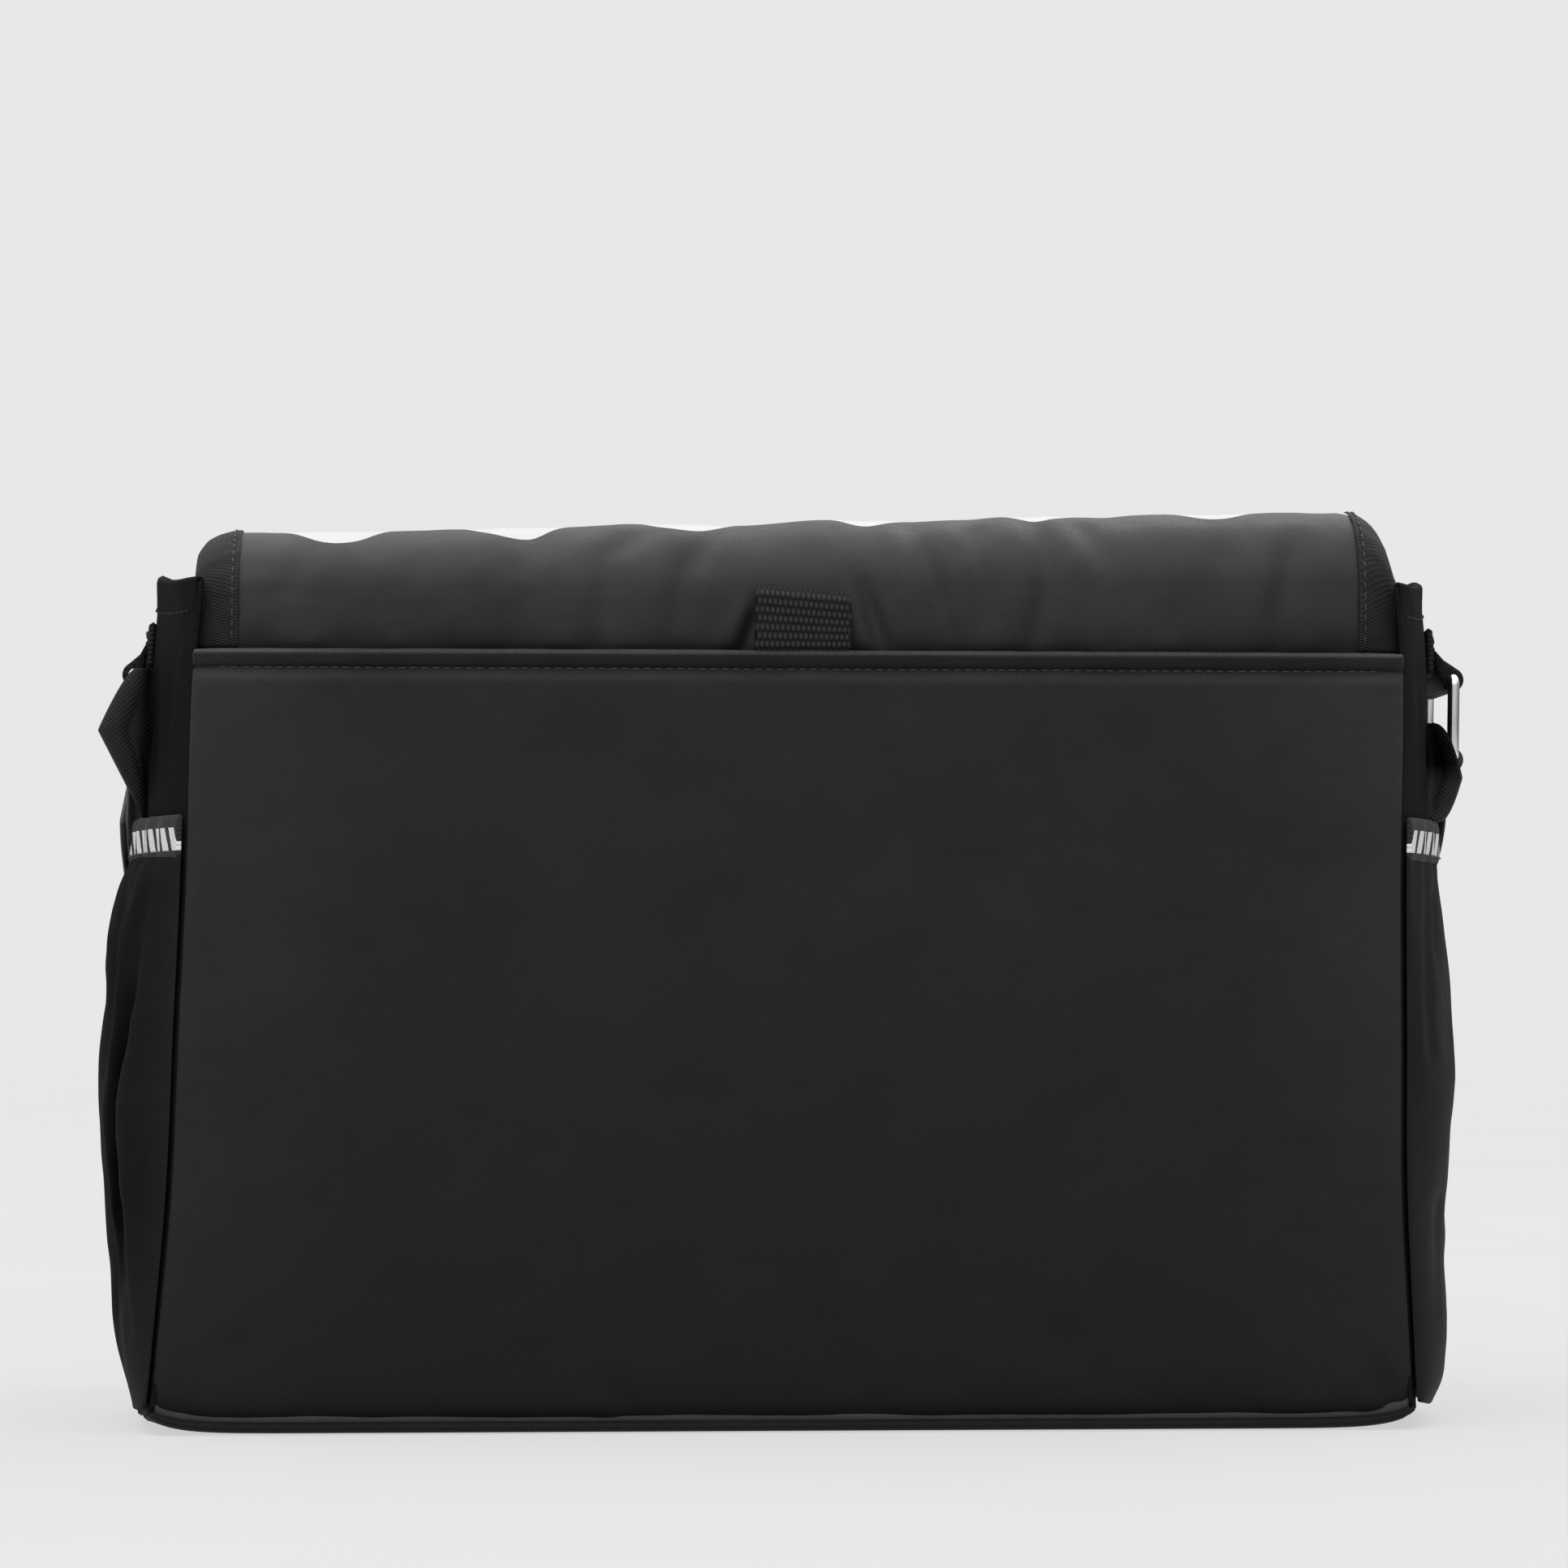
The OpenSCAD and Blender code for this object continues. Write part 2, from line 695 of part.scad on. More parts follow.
back_panel();
back_foam();
back_pocket();
front_panel();
front_foam();
gusset(-1);  // gusset_left
gusset(1);  // gusset_right
base_panel();
base_board();
lining();
inner_pocket();
mouth_binding();
front_pocket();
side_pocket(-1);  // side_pocket_left
side_pocket(1);  // side_pocket_right
pocket_elastic(-1);  // pocket_elastic_left
pocket_elastic(1);  // pocket_elastic_right
tab_patch(-1);  // tab_patch_left
tab_patch(1);  // tab_patch_right
hanging_loop();
snap_socket(-1);  // snap_socket_left
snap_socket(1);  // snap_socket_right
zip_welt();
zip_tape();
zip_coil();
flap_root();
flap_root_binding();
flap_top_shell();
flap_top_wadding();
flap_top_lining();
flap_top_binding();
flap_front_shell();
flap_front_wadding();
flap_front_lining();
flap_front_binding();
snap_stud(-1);  // snap_stud_left
snap_stud(1);  // snap_stud_right
strap();
strap_tail();
ring(-1);  // ring_left
ring(1);  // ring_right
tab_loop(-1);  // tab_loop_left
tab_loop(1);  // tab_loop_right
strap_slider();
zip_slider();
zip_pull();
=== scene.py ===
import math

import bpy
import numpy as np
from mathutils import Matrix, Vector


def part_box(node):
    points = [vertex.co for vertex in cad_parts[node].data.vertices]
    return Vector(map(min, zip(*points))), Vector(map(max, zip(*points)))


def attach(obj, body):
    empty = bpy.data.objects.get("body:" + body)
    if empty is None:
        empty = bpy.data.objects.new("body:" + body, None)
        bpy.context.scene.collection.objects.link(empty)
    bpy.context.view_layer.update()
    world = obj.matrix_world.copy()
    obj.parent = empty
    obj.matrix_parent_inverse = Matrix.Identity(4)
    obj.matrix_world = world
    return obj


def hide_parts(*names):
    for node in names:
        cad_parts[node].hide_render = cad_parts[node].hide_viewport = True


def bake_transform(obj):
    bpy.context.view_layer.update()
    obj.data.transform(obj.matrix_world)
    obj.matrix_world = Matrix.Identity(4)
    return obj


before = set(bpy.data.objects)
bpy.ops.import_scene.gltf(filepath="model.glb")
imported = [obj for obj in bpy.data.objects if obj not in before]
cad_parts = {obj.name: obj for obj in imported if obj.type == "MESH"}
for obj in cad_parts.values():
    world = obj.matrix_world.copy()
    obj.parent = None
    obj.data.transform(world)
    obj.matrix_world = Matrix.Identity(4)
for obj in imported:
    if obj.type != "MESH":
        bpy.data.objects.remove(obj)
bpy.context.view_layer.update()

# The looks of a messenger bag: cloth, webbing, bindings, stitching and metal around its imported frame.
# Metres. +Z is up, -Y is the front. "right" pieces are at +X. A cloth's UV map is in metres too.

# ---- Camera ----

FOCAL_PIXELS = 5727
PHOTO_SIDE = 1932
HORIZON_BELOW_MIDDLE = 292


def make_camera():
    data = bpy.data.cameras.new("camera")
    data.sensor_width = 36
    data.lens = data.sensor_width * FOCAL_PIXELS / PHOTO_SIDE
    data.clip_end = 100
    camera = bpy.data.objects.new("camera", data)
    camera.location = (0.090, 1.562, 0.132)
    pitch = math.atan(HORIZON_BELOW_MIDDLE / FOCAL_PIXELS)
    camera.rotation_euler = (math.radians(90) + pitch, 0, math.radians(180 - 3.24))
    bpy.context.scene.collection.objects.link(camera)
    bpy.context.scene.camera = camera


make_camera()

# ---- Sizes, from the frame ----

HALF_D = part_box("base_panel")[1].y
BASE_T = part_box("base_panel")[1].z
SHELL_T = 0.0015
SEAM_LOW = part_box("back_pocket")[1].x + SHELL_T + 0.0002
TAPER = 0.0105 / 0.252
LEAN = 0.0043
CORNER_LIFT = 0.005
BASE_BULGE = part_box("base_panel")[1].x - SEAM_LOW
SIDE_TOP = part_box("gusset_right")[1].z
HEM_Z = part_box("back_pocket")[1].z
SIDE_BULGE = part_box("gusset_right")[1].x - SEAM_LOW + TAPER * 0.070
POCKET_CHORD = HALF_D - 0.002
ELASTIC_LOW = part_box("pocket_elastic_right")[0].z
ELASTIC_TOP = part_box("pocket_elastic_right")[1].z
TAPE_W = 0.012
TAPE_T = 0.0008
SIDES = (("left", -1), ("right", 1))


def seam_x(z):
    """Half the width between the side seams, which draw in above the base and open again to the mouth."""
    z = np.asarray(z, float)
    drawn_in = 0.0016 * np.exp(-(((z - 0.075) / 0.045) ** 2))
    opened = 0.0034 * np.exp(-(((z - 0.250) / 0.06) ** 2)) + 0.0014 * np.exp(-np.maximum(z, 0) / 0.010)
    return SEAM_LOW - TAPER * z - drawn_in + opened


def settled_shape(co):
    """The soft bag stands a little askew, its foot to one side, and its lower corners lift off the floor."""
    x, y, z = co[..., 0], co[..., 1], co[..., 2]
    body = np.clip((y + 0.09) / 0.05, 0, 1)
    lean = LEAN * (1 - 1.3 * np.clip(z / 0.26, 0, 1)) * body
    inside = np.maximum(SEAM_LOW - np.abs(x), 0)
    near = np.maximum(HALF_D - np.abs(y), 0)
    lift = CORNER_LIFT * np.exp(-inside / 0.008 - near / 0.025 - np.maximum(z, 0) / 0.030) * (np.abs(y) < 0.066)
    return np.stack([x + lean, y, z + lift], -1)


def arc_rise(y, chord, rise):
    """How far an arc between two edges stands out at depth y."""
    r = (chord**2 + rise**2) / (2 * rise)
    return np.sqrt(np.maximum(r**2 - y**2, 0)) - (r - rise)


def wall_rise(z):
    """The side wall is narrow at the base and full from a quarter of its height up."""
    return SIDE_BULGE - (SIDE_BULGE - BASE_BULGE) * np.exp(-((np.maximum(z, 0) / 0.030) ** 1.3))


def wall_x(z, y):
    return seam_x(z) + arc_rise(np.clip(y, -HALF_D, HALF_D), HALF_D, wall_rise(z))


def pocket_room(z, y):
    """How far the side pocket's cloth stands off the wall behind it."""
    heights = [0.005, 0.030, 0.060, 0.110, 0.185, 0.198]
    rooms = [0.0003, 0.0025, 0.0050, 0.0092, 0.0044, 0.0040]
    blur = sum(np.interp(z + shift, heights, rooms) for shift in (-0.008, -0.003, 0.003, 0.008)) / 4
    return blur * np.sqrt(np.maximum(0, 1 - (y / POCKET_CHORD) ** 2))


# ---- Fields that wrinkle cloth ----


def smooth(t):
    t = np.clip(t, 0, 1)
    return t * t * (3 - 2 * t)


def field(u, v, size, seed):
    """Smooth random heights between -1 and 1, each hill about size across."""
    side = 97
    table = np.random.RandomState(seed).uniform(-1, 1, (side, side))
    a = u / size + 41.3
    b = v / size + 17.9
    i = np.floor(a).astype(int)
    j = np.floor(b).astype(int)
    p = smooth(a - i)
    q = smooth(b - j)
    low = table[i % side, j % side] * (1 - p) + table[(i + 1) % side, j % side] * p
    high = table[i % side, (j + 1) % side] * (1 - p) + table[(i + 1) % side, (j + 1) % side] * p
    return low * (1 - q) + high * q


def crease(u, v, route, width, depth, ridge=0.4):
    """A soft valley along a route of points, fading at its ends, with a low ridge beside it."""
    points = np.array(route, float)
    steps = points[1:] - points[:-1]
    lengths = np.linalg.norm(steps, axis=1)
    starts = np.concatenate([[0], np.cumsum(lengths)])
    away = np.full(np.shape(u), 1e9)
    along = np.zeros(np.shape(u))
    for start, step, length, before in zip(points[:-1], steps, lengths, starts):
        t = ((u - start[0]) * step[0] + (v - start[1]) * step[1]) / length**2
        held = np.clip(t, 0, 1)
        du = u - start[0] - held * step[0]
        dv = v - start[1] - held * step[1]
        side = np.sign(step[0] * dv - step[1] * du)
        distance = np.hypot(du, dv)
        nearer = distance < np.abs(away)
        away = np.where(nearer, np.where(side < 0, -distance, distance), away)
        along = np.where(nearer, before + held * length, along)
    fade = np.sin(np.pi * np.clip(along / starts[-1], 0.02, 0.98)) ** 0.7
    valley = np.exp(-((away / width) ** 2))
    hill = ridge * np.exp(-(((away - 1.9 * width) / (1.1 * width)) ** 2))
    return depth * fade * (hill - valley)


# ---- Mesh builders ----


def spread(low, high, count):
    return np.linspace(low, high, count)


def points(x, y, z):
    x, y, z = np.broadcast_arrays(x, y, z)
    return np.stack([x, y, z], axis=-1).astype(float)


def normals(grid):
    """Unit normals of a grid of points, from its columns' direction to its rows'."""
    n = np.cross(np.gradient(grid, axis=1), np.gradient(grid, axis=0))
    return n / np.maximum(np.linalg.norm(n, axis=-1, keepdims=True), 1e-12)


def lengths_along(grid, axis):
    """Distance along a grid's middle line, as the cloth's own coordinate."""
    line = np.take(grid, grid.shape[1 - axis] // 2, axis=1 - axis)
    return np.concatenate([[0], np.cumsum(np.linalg.norm(np.diff(line, axis=0), axis=-1))])


def grid_uv(grid):
    u, v = np.meshgrid(lengths_along(grid, 1), lengths_along(grid, 0))
    return np.stack([u, v], axis=-1)


def mesh_object(name, verts, faces, corner_uv, materials, indices, edge=None, sharp=()):
    mesh = bpy.data.meshes.new(name)
    mesh.from_pydata(settled_shape(np.asarray(verts, float)).tolist(), [], faces)
    mesh.shade_smooth()
    layer = mesh.uv_layers.new(name="UVMap")
    layer.data.foreach_set("uv", np.asarray(corner_uv, np.float32).ravel())
    for material in materials:
        mesh.materials.append(material)
    mesh.polygons.foreach_set("material_index", np.asarray(indices, np.int32))
    if edge is not None:
        attribute = mesh.attributes.new("edge", "FLOAT", "POINT")
        attribute.data.foreach_set("value", np.asarray(edge, np.float32))
    if len(sharp):
        wanted = {tuple(sorted(pair)) for pair in sharp}
        marks = [tuple(sorted(e.vertices)) in wanted for e in mesh.edges]
        flag = mesh.attributes.new("sharp_edge", "BOOLEAN", "EDGE")
        flag.data.foreach_set("value", marks)
    mesh.update()
    made = bpy.data.objects.new(name, mesh)
    bpy.context.scene.collection.objects.link(made)
    return made


def slab(name, outer, inner, materials, uv=None, flat_rows=(), roundness=0.4):
    """A sheet with a rounded rim between two grids of points. A flat row has a square rim, to butt on another sheet."""
    rows, cols = outer.shape[:2]
    uv = grid_uv(outer) if uv is None else uv
    ring = [(0, j) for j in range(cols)] + [(i, cols - 1) for i in range(1, rows)]
    ring += [(rows - 1, j) for j in range(cols - 2, -1, -1)] + [(i, 0) for i in range(rows - 2, 0, -1)]
    bi = np.array([i for i, _ in ring])
    bj = np.array([j for _, j in ring])
    middle = (outer + inner) / 2
    near = middle[np.clip(bi, 1, rows - 2), np.clip(bj, 1, cols - 2)]
    push = middle[bi, bj] - near
    push /= np.maximum(np.linalg.norm(push, axis=-1, keepdims=True), 1e-12)
    thick = np.linalg.norm(outer[bi, bj] - inner[bi, bj], axis=-1, keepdims=True)
    flat = np.isin(bi, flat_rows)
    rim = middle[bi, bj] + push * thick * roundness * ~flat[:, None]
    verts = np.concatenate([outer.reshape(-1, 3), inner.reshape(-1, 3), rim])
    vert_uv = np.concatenate([uv.reshape(-1, 2), uv.reshape(-1, 2), uv[bi, bj]])
    index = np.arange(rows * cols).reshape(rows, cols)
    quads = np.stack([index[:-1, :-1], index[:-1, 1:], index[1:, 1:], index[1:, :-1]], -1).reshape(-1, 4)
    a = index[bi, bj]
    b = np.roll(a, -1)
    m = 2 * rows * cols + np.arange(len(ring))
    n = np.roll(m, -1)
    across = rows * cols
    walls = [np.stack([b, a, m, n], -1), np.stack([n, m, a + across, b + across], -1)]
    facing = np.sum(normals(outer) * (outer - inner))
    faces = np.concatenate([quads, *walls, (quads + across)[:, ::-1]])
    if facing < 0:
        faces = faces[:, ::-1]
    indices = np.zeros(len(faces), int)
    indices[-len(quads):] = len(materials) - 1
    gap = np.minimum(vert_uv - vert_uv.min(0), vert_uv.max(0) - vert_uv).min(1)
    sharp = [pair for k in np.flatnonzero(flat) for pair in ((a[k], b[k]), (a[k] + across, b[k] + across))]
    return mesh_object(
        name, verts, faces.tolist(), vert_uv[faces.ravel()], materials, indices, np.exp(-gap / 0.004), sharp
    )


def cloth_slab(name, middle, thickness, materials, **options):
    """A slab of even thickness about a grid of points."""
    half = normals(middle) * thickness / 2
    return slab(name, middle + half, middle - half, materials, **options)


def loft(name, rings, material, closed=False):
    """A tube through equal loops of points, with its ends capped unless the path itself is closed."""
    rings = np.asarray(rings, float)
    count, m = rings.shape[:2]
    round_lengths = np.linalg.norm(np.roll(rings[0], -1, 0) - rings[0], axis=-1)
    u = np.concatenate([[0], np.cumsum(round_lengths)])
    centres = rings.mean(1)
    path = np.vstack([centres, centres[:1]]) if closed else centres
    v = np.concatenate([[0], np.cumsum(np.linalg.norm(np.diff(path, axis=0), axis=-1))])
    faces = []
    corner_uv = []
    for i in range(count if closed else count - 1):
        for k in range(m):
            low = i * m
            high = (i + 1) % count * m
            faces.append([low + k, low + (k + 1) % m, high + (k + 1) % m, high + k])
            corner_uv += [(u[k], v[i]), (u[k + 1], v[i]), (u[k + 1], v[i + 1]), (u[k], v[i + 1])]
    if not closed:
        last = (count - 1) * m
        for k in range(m // 2 - 1):
            faces.append([k, m - 1 - k, m - 2 - k, k + 1])
            faces.append([last + k, last + k + 1, last + m - 2 - k, last + m - 1 - k])
            corner_uv += [(u[k], 0)] * 8
    first = np.cross(rings[0][m // 4] - centres[0], rings[0][m // 2] - centres[0])
    if np.dot(first, path[1] - path[0]) < 0:
        faces = [face[::-1] for face in faces]
        corner_uv = [c for i in range(0, len(corner_uv), 4) for c in corner_uv[i:i + 4][::-1]]
    return mesh_object(name, rings.reshape(-1, 3), faces, corner_uv, [material], [0] * len(faces))


def unit(v):
    return v / np.maximum(np.linalg.norm(v, axis=-1, keepdims=True), 1e-12)


def tube(name, path, radius, material, closed=False, sides=12, across=(0.0, 1.0, 0.0)):
    """A round wire along a path of points."""
    path = np.asarray(path, float)
    if closed:
        along = np.roll(path, -1, 0) - np.roll(path, 1, 0)
    else:
        along = np.gradient(path, axis=0)
    along = unit(along)
    one = unit(np.cross(along, np.broadcast_to(across, along.shape) + 1e-6))
    two = np.cross(along, one)
    turn = np.arange(sides) * 2 * math.pi / sides
    circle = one[:, None] * np.cos(turn)[None, :, None] + two[:, None] * np.sin(turn)[None, :, None]
    radii = np.broadcast_to(radius, (len(path),))
    return loft(name, path[:, None] + circle * radii[:, None, None], material, closed)


def lathe_y(name, profile, centre, material, sides=48):
    """A turned piece about an axis along Y, from (radius, y) pairs."""
    turn = np.arange(sides) * 2 * math.pi / sides
    rings = [
        points(centre[0] + r * np.cos(turn), y, centre[1] + r * np.sin(turn)) for r, y in profile
    ]
    return loft(name, rings, material)


def stitches(name, path, up, material, pitch=0.0036, length=0.0027, radius=0.00028):
    """A row of lock stitches along a path, each a short rounded thread that dips at its ends."""
    path = np.asarray(path, float)
    up = np.broadcast_to(up, path.shape)
    run = np.concatenate([[0], np.cumsum(np.linalg.norm(np.diff(path, axis=0), axis=-1))])
    places = np.arange(pitch, run[-1] - pitch / 2, pitch)
    centre = np.stack([np.interp(places, run, path[:, k]) for k in range(3)], -1)
    ahead = np.stack([np.interp(places + 1e-4, run, path[:, k]) for k in range(3)], -1)
    lift = unit(np.stack([np.interp(places, run, up[:, k]) for k in range(3)], -1))
    along = unit(ahead - centre)
    across = unit(np.cross(along, lift))
    sides = 6
    turn = np.arange(sides) * 2 * math.pi / sides
    shape = [(-0.5, 0.35, -0.9), (-0.36, 0.95, -0.1), (0.0, 1.0, 0.2), (0.36, 0.95, -0.1), (0.5, 0.35, -0.9)]
    verts = []
    for share, size, dip in shape:
        middle = centre + along * share * length + lift * dip * radius
        for angle in turn:
            verts.append(middle + (across * math.cos(angle) + lift * math.sin(angle)) * size * radius)
    verts = np.stack(verts, 1)
    block = len(shape) * sides
    faces = []
    for n in range(len(places)):
        base = n * block
        for r in range(len(shape) - 1):
            for k in range(sides):
                low = base + r * sides
                nxt = (k + 1) % sides
                faces.append([low + k, low + sides + k, low + sides + nxt, low + nxt])
        faces.append([base + k for k in range(sides)])
        faces.append([base + block - 1 - k for k in range(sides)])
    count = sum(len(face) for face in faces)
    return mesh_object(name, verts.reshape(-1, 3), faces, np.zeros((count, 2)), [material], [0] * len(faces))


# ---- Cloth simulation ----


def settle(width, height, step, spare_u, spare_v, seed, pressure=0.0, bending=0.02, frames=26):
    """Heights of a sheet that is sewn down round its edge with cloth to spare, as cloth simulation leaves them.

    spare_u and spare_v are functions of the height share (0 low, 1 high) that give the spare cloth as a share."""
    cols = int(width / step) + 1
    rows = int(height / step) + 1
    u, v = np.meshgrid(spread(-width / 2, width / 2, cols), spread(0, height, rows))
    start = 0.0006 * field(u, v, 0.020, seed) + 0.0004 * field(u, v, 0.009, seed + 1)
    share = v / height
    sewn = (np.abs(u) > width / 2 - 1e-6) | (v < 1e-6) | (v > height - 1e-6)
    held = points(u, v, np.where(sewn, 0, start))
    rest = points(u * (1 + spare_u(share)), v * (1 + spare_v(share)), 0)
    index = np.arange(rows * cols).reshape(rows, cols)
    faces = np.stack([index[:-1, :-1], index[:-1, 1:], index[1:, 1:], index[1:, :-1]], -1).reshape(-1, 4)
    mesh = bpy.data.meshes.new("settling")
    mesh.from_pydata(held.reshape(-1, 3).tolist(), [], faces.tolist())
    sheet = bpy.data.objects.new("settling", mesh)
    bpy.context.scene.collection.objects.link(sheet)
    group = sheet.vertex_groups.new(name="sewn")
    group.add(index[sewn].tolist(), 1.0, "REPLACE")
    sheet.shape_key_add(name="held")
    key = sheet.shape_key_add(name="cut")
    key.data.foreach_set("co", rest.astype(np.float32).ravel())
    cloth_modifier = sheet.modifiers.new("cloth", "CLOTH")
    cloth_modifier.collision_settings.use_collision = False
    settings = cloth_modifier.settings
    settings.rest_shape_key = key
    settings.vertex_group_mass = "sewn"
    settings.quality = 6
    settings.mass = 0.12
    settings.tension_stiffness = 20
    settings.compression_stiffness = 20
    settings.shear_stiffness = 4
    settings.bending_stiffness = bending
    settings.air_damping = 3
    settings.effector_weights.gravity = 0
    settings.use_pressure = pressure > 0
    settings.uniform_pressure_force = pressure
    cloth_modifier.point_cache.frame_start = 1
    cloth_modifier.point_cache.frame_end = frames
    for frame_number in range(1, frames + 1):
        bpy.context.scene.frame_set(frame_number)
    settled = sheet.evaluated_get(bpy.context.evaluated_depsgraph_get())
    co = np.zeros(rows * cols * 3, np.float32)
    settled.data.vertices.foreach_get("co", co)
    bpy.data.objects.remove(sheet)
    bpy.context.scene.frame_set(1)
    print("settled", width, height, "height range", co[2::3].min(), co[2::3].max())
    return co.reshape(rows, cols, 3)[..., 2].astype(float)


def sample(heights, width, height, u, v):
    """Smoothly read heights over a width centred on 0 and a height from 0."""
    rows, cols = heights.shape
    a = np.clip((u / width + 0.5) * (cols - 1), 0, cols - 1.001)
    b = np.clip(v / height * (rows - 1), 0, rows - 1.001)
    i = np.floor(a).astype(int)
    j = np.floor(b).astype(int)
    p = a - i
    q = b - j
    low = heights[j, i] * (1 - p) + heights[j, i + 1] * p
    high = heights[j + 1, i] * (1 - p) + heights[j + 1, i + 1] * p
    return low * (1 - q) + high * q


# ---- Materials ----


def new_tree(name):
    material = bpy.data.materials.new(name)
    material.use_nodes = True
    tree = material.node_tree
    return material, tree, tree.nodes["Principled BSDF"]


def node(tree, kind, **values):
    """A shader node whose named inputs are values or other sockets."""
    made = tree.nodes.new(kind)
    for key, value in values.items():
        if key.startswith("set_"):
            setattr(made, key[4:], value)
        else:
            socket = made.inputs[int(key[1:])] if key[0] == "i" and key[1:].isdigit() else made.inputs[key]
            if isinstance(value, bpy.types.NodeSocket):
                tree.links.new(value, socket)
            else:
                socket.default_value = value
    return made


def math_node(tree, operation, a, b=0.0):
    return node(tree, "ShaderNodeMath", set_operation=operation, i0=a, i1=b).outputs[0]


def ramp(tree, value, stops, constant=False):
    made = node(tree, "ShaderNodeValToRGB", i0=value)
    band = made.color_ramp
    band.interpolation = "CONSTANT" if constant else "LINEAR"
    while len(band.elements) < len(stops):
        band.elements.new(0.5)
    for element, (place, colour) in zip(band.elements, stops):
        element.position = place
        element.color = (*colour, 1) if len(colour) == 3 else colour
    return made.outputs[0]


def cloth_uv(tree):
    """The cloth's own coordinates in metres, as two sockets and a vector."""
    where = tree.nodes.new("ShaderNodeUVMap")
    where.uv_map = "UVMap"
    split = node(tree, "ShaderNodeSeparateXYZ", i0=where.outputs[0])
    return split.outputs[0], split.outputs[1], where.outputs[0]


def weave_height(tree, u, v, pitch_u, pitch_v):
    """Threads over and under each other, as a height between -1 and 1."""
    a = math_node(tree, "SINE", math_node(tree, "MULTIPLY", u, 2 * math.pi / pitch_u))
    b = math_node(tree, "SINE", math_node(tree, "MULTIPLY", v, 2 * math.pi / pitch_v))
    return math_node(tree, "MULTIPLY", a, b)


def cloth(name, colour, roughness, pitch, depth, specular=0.25, sheen=0.1, wear=0.5, mottle=0.25, print_on=None):
    """Woven cloth: thread relief, uneven dye and dull patches, and paler worn edges."""
    material, tree, shader = new_tree(name)
    u, v, where = cloth_uv(tree)
    weave = weave_height(tree, u, v, pitch[0], pitch[1])
    cloud = node(tree, "ShaderNodeTexNoise", Vector=where, Scale=22.0, Detail=4.0, Roughness=0.6)
    fuzz = node(tree, "ShaderNodeTexNoise", Vector=where, Scale=900.0, Detail=2.0)
    dark = tuple(c * (1 - mottle) for c in colour)
    light = tuple(c * (1 + mottle) for c in colour)
    dye = ramp(tree, cloud.outputs[0], [(0.3, dark), (0.7, light)])
    worn = tree.nodes.new("ShaderNodeAttribute")
    worn.attribute_name = "edge"
    amount = math_node(tree, "MULTIPLY", worn.outputs["Fac"], fuzz.outputs[0])
    amount = math_node(tree, "MULTIPLY", amount, wear)
    pale = tuple(c * 2.2 + 0.006 for c in colour)
    mixed = node(tree, "ShaderNodeMix", set_data_type="RGBA", Factor=amount, i6=dye, i7=(*pale, 1))
    tinted = mixed.outputs[2]
    if print_on is not None:
        tinted = print_on(tree, u, v, tinted, fuzz.outputs[0])
    tree.links.new(tinted, shader.inputs["Base Color"])
    spread_of = node(
        tree, "ShaderNodeMapRange", Value=cloud.outputs[0],
        **{"From Min": 0.3, "From Max": 0.7, "To Min": roughness - 0.06, "To Max": roughness + 0.06},
    )
    tree.links.new(spread_of.outputs[0], shader.inputs["Roughness"])
    rough = math_node(tree, "MULTIPLY", fuzz.outputs[0], 0.6)
    height = math_node(tree, "ADD", weave, rough)
    bump = node(tree, "ShaderNodeBump", Strength=1.0, Distance=depth, Height=height)
    tree.links.new(bump.outputs[0], shader.inputs["Normal"])
    shader.inputs["Specular IOR Level"].default_value = specular
    shader.inputs["Sheen Weight"].default_value = sheen
    shader.inputs["Sheen Roughness"].default_value = 0.45
    return material


def hard(name, colour, roughness, metallic, grain=0.00002, scale=400.0):
    """Metal or moulded plastic with fine grain and smudges."""
    material, tree, shader = new_tree(name)
    where = tree.nodes.new("ShaderNodeTexCoord").outputs["Object"]
    smudge = node(tree, "ShaderNodeTexNoise", Vector=where, Scale=60.0, Detail=5.0)
    fine = node(tree, "ShaderNodeTexNoise", Vector=where, Scale=scale, Detail=3.0)
    tint = ramp(tree, smudge.outputs[0], [(0.3, tuple(c * 0.85 for c in colour)), (0.7, colour)])
    tree.links.new(tint, shader.inputs["Base Color"])
    dull = node(
        tree, "ShaderNodeMapRange", Value=smudge.outputs[0],
        **{"From Min": 0.3, "From Max": 0.7, "To Min": roughness, "To Max": roughness + 0.12},
    )
    tree.links.new(dull.outputs[0], shader.inputs["Roughness"])
    bump = node(tree, "ShaderNodeBump", Strength=0.6, Distance=grain, Height=fine.outputs[0])
    tree.links.new(bump.outputs[0], shader.inputs["Normal"])
    shader.inputs["Metallic"].default_value = metallic
    return material


WAVE_PERIOD = 0.0575
WAVE_CREST_X = 0.151
PRINT_START = 0.0575


def tucked_tone(tree, u, v):
    """The flap's sewn end is in the shadow of the slip pocket."""
    return node(tree, "ShaderNodeMapRange", Value=v, **{
        "From Min": 0.006, "From Max": 0.034, "To Min": 0.25, "To Max": 1.0}).outputs[0]


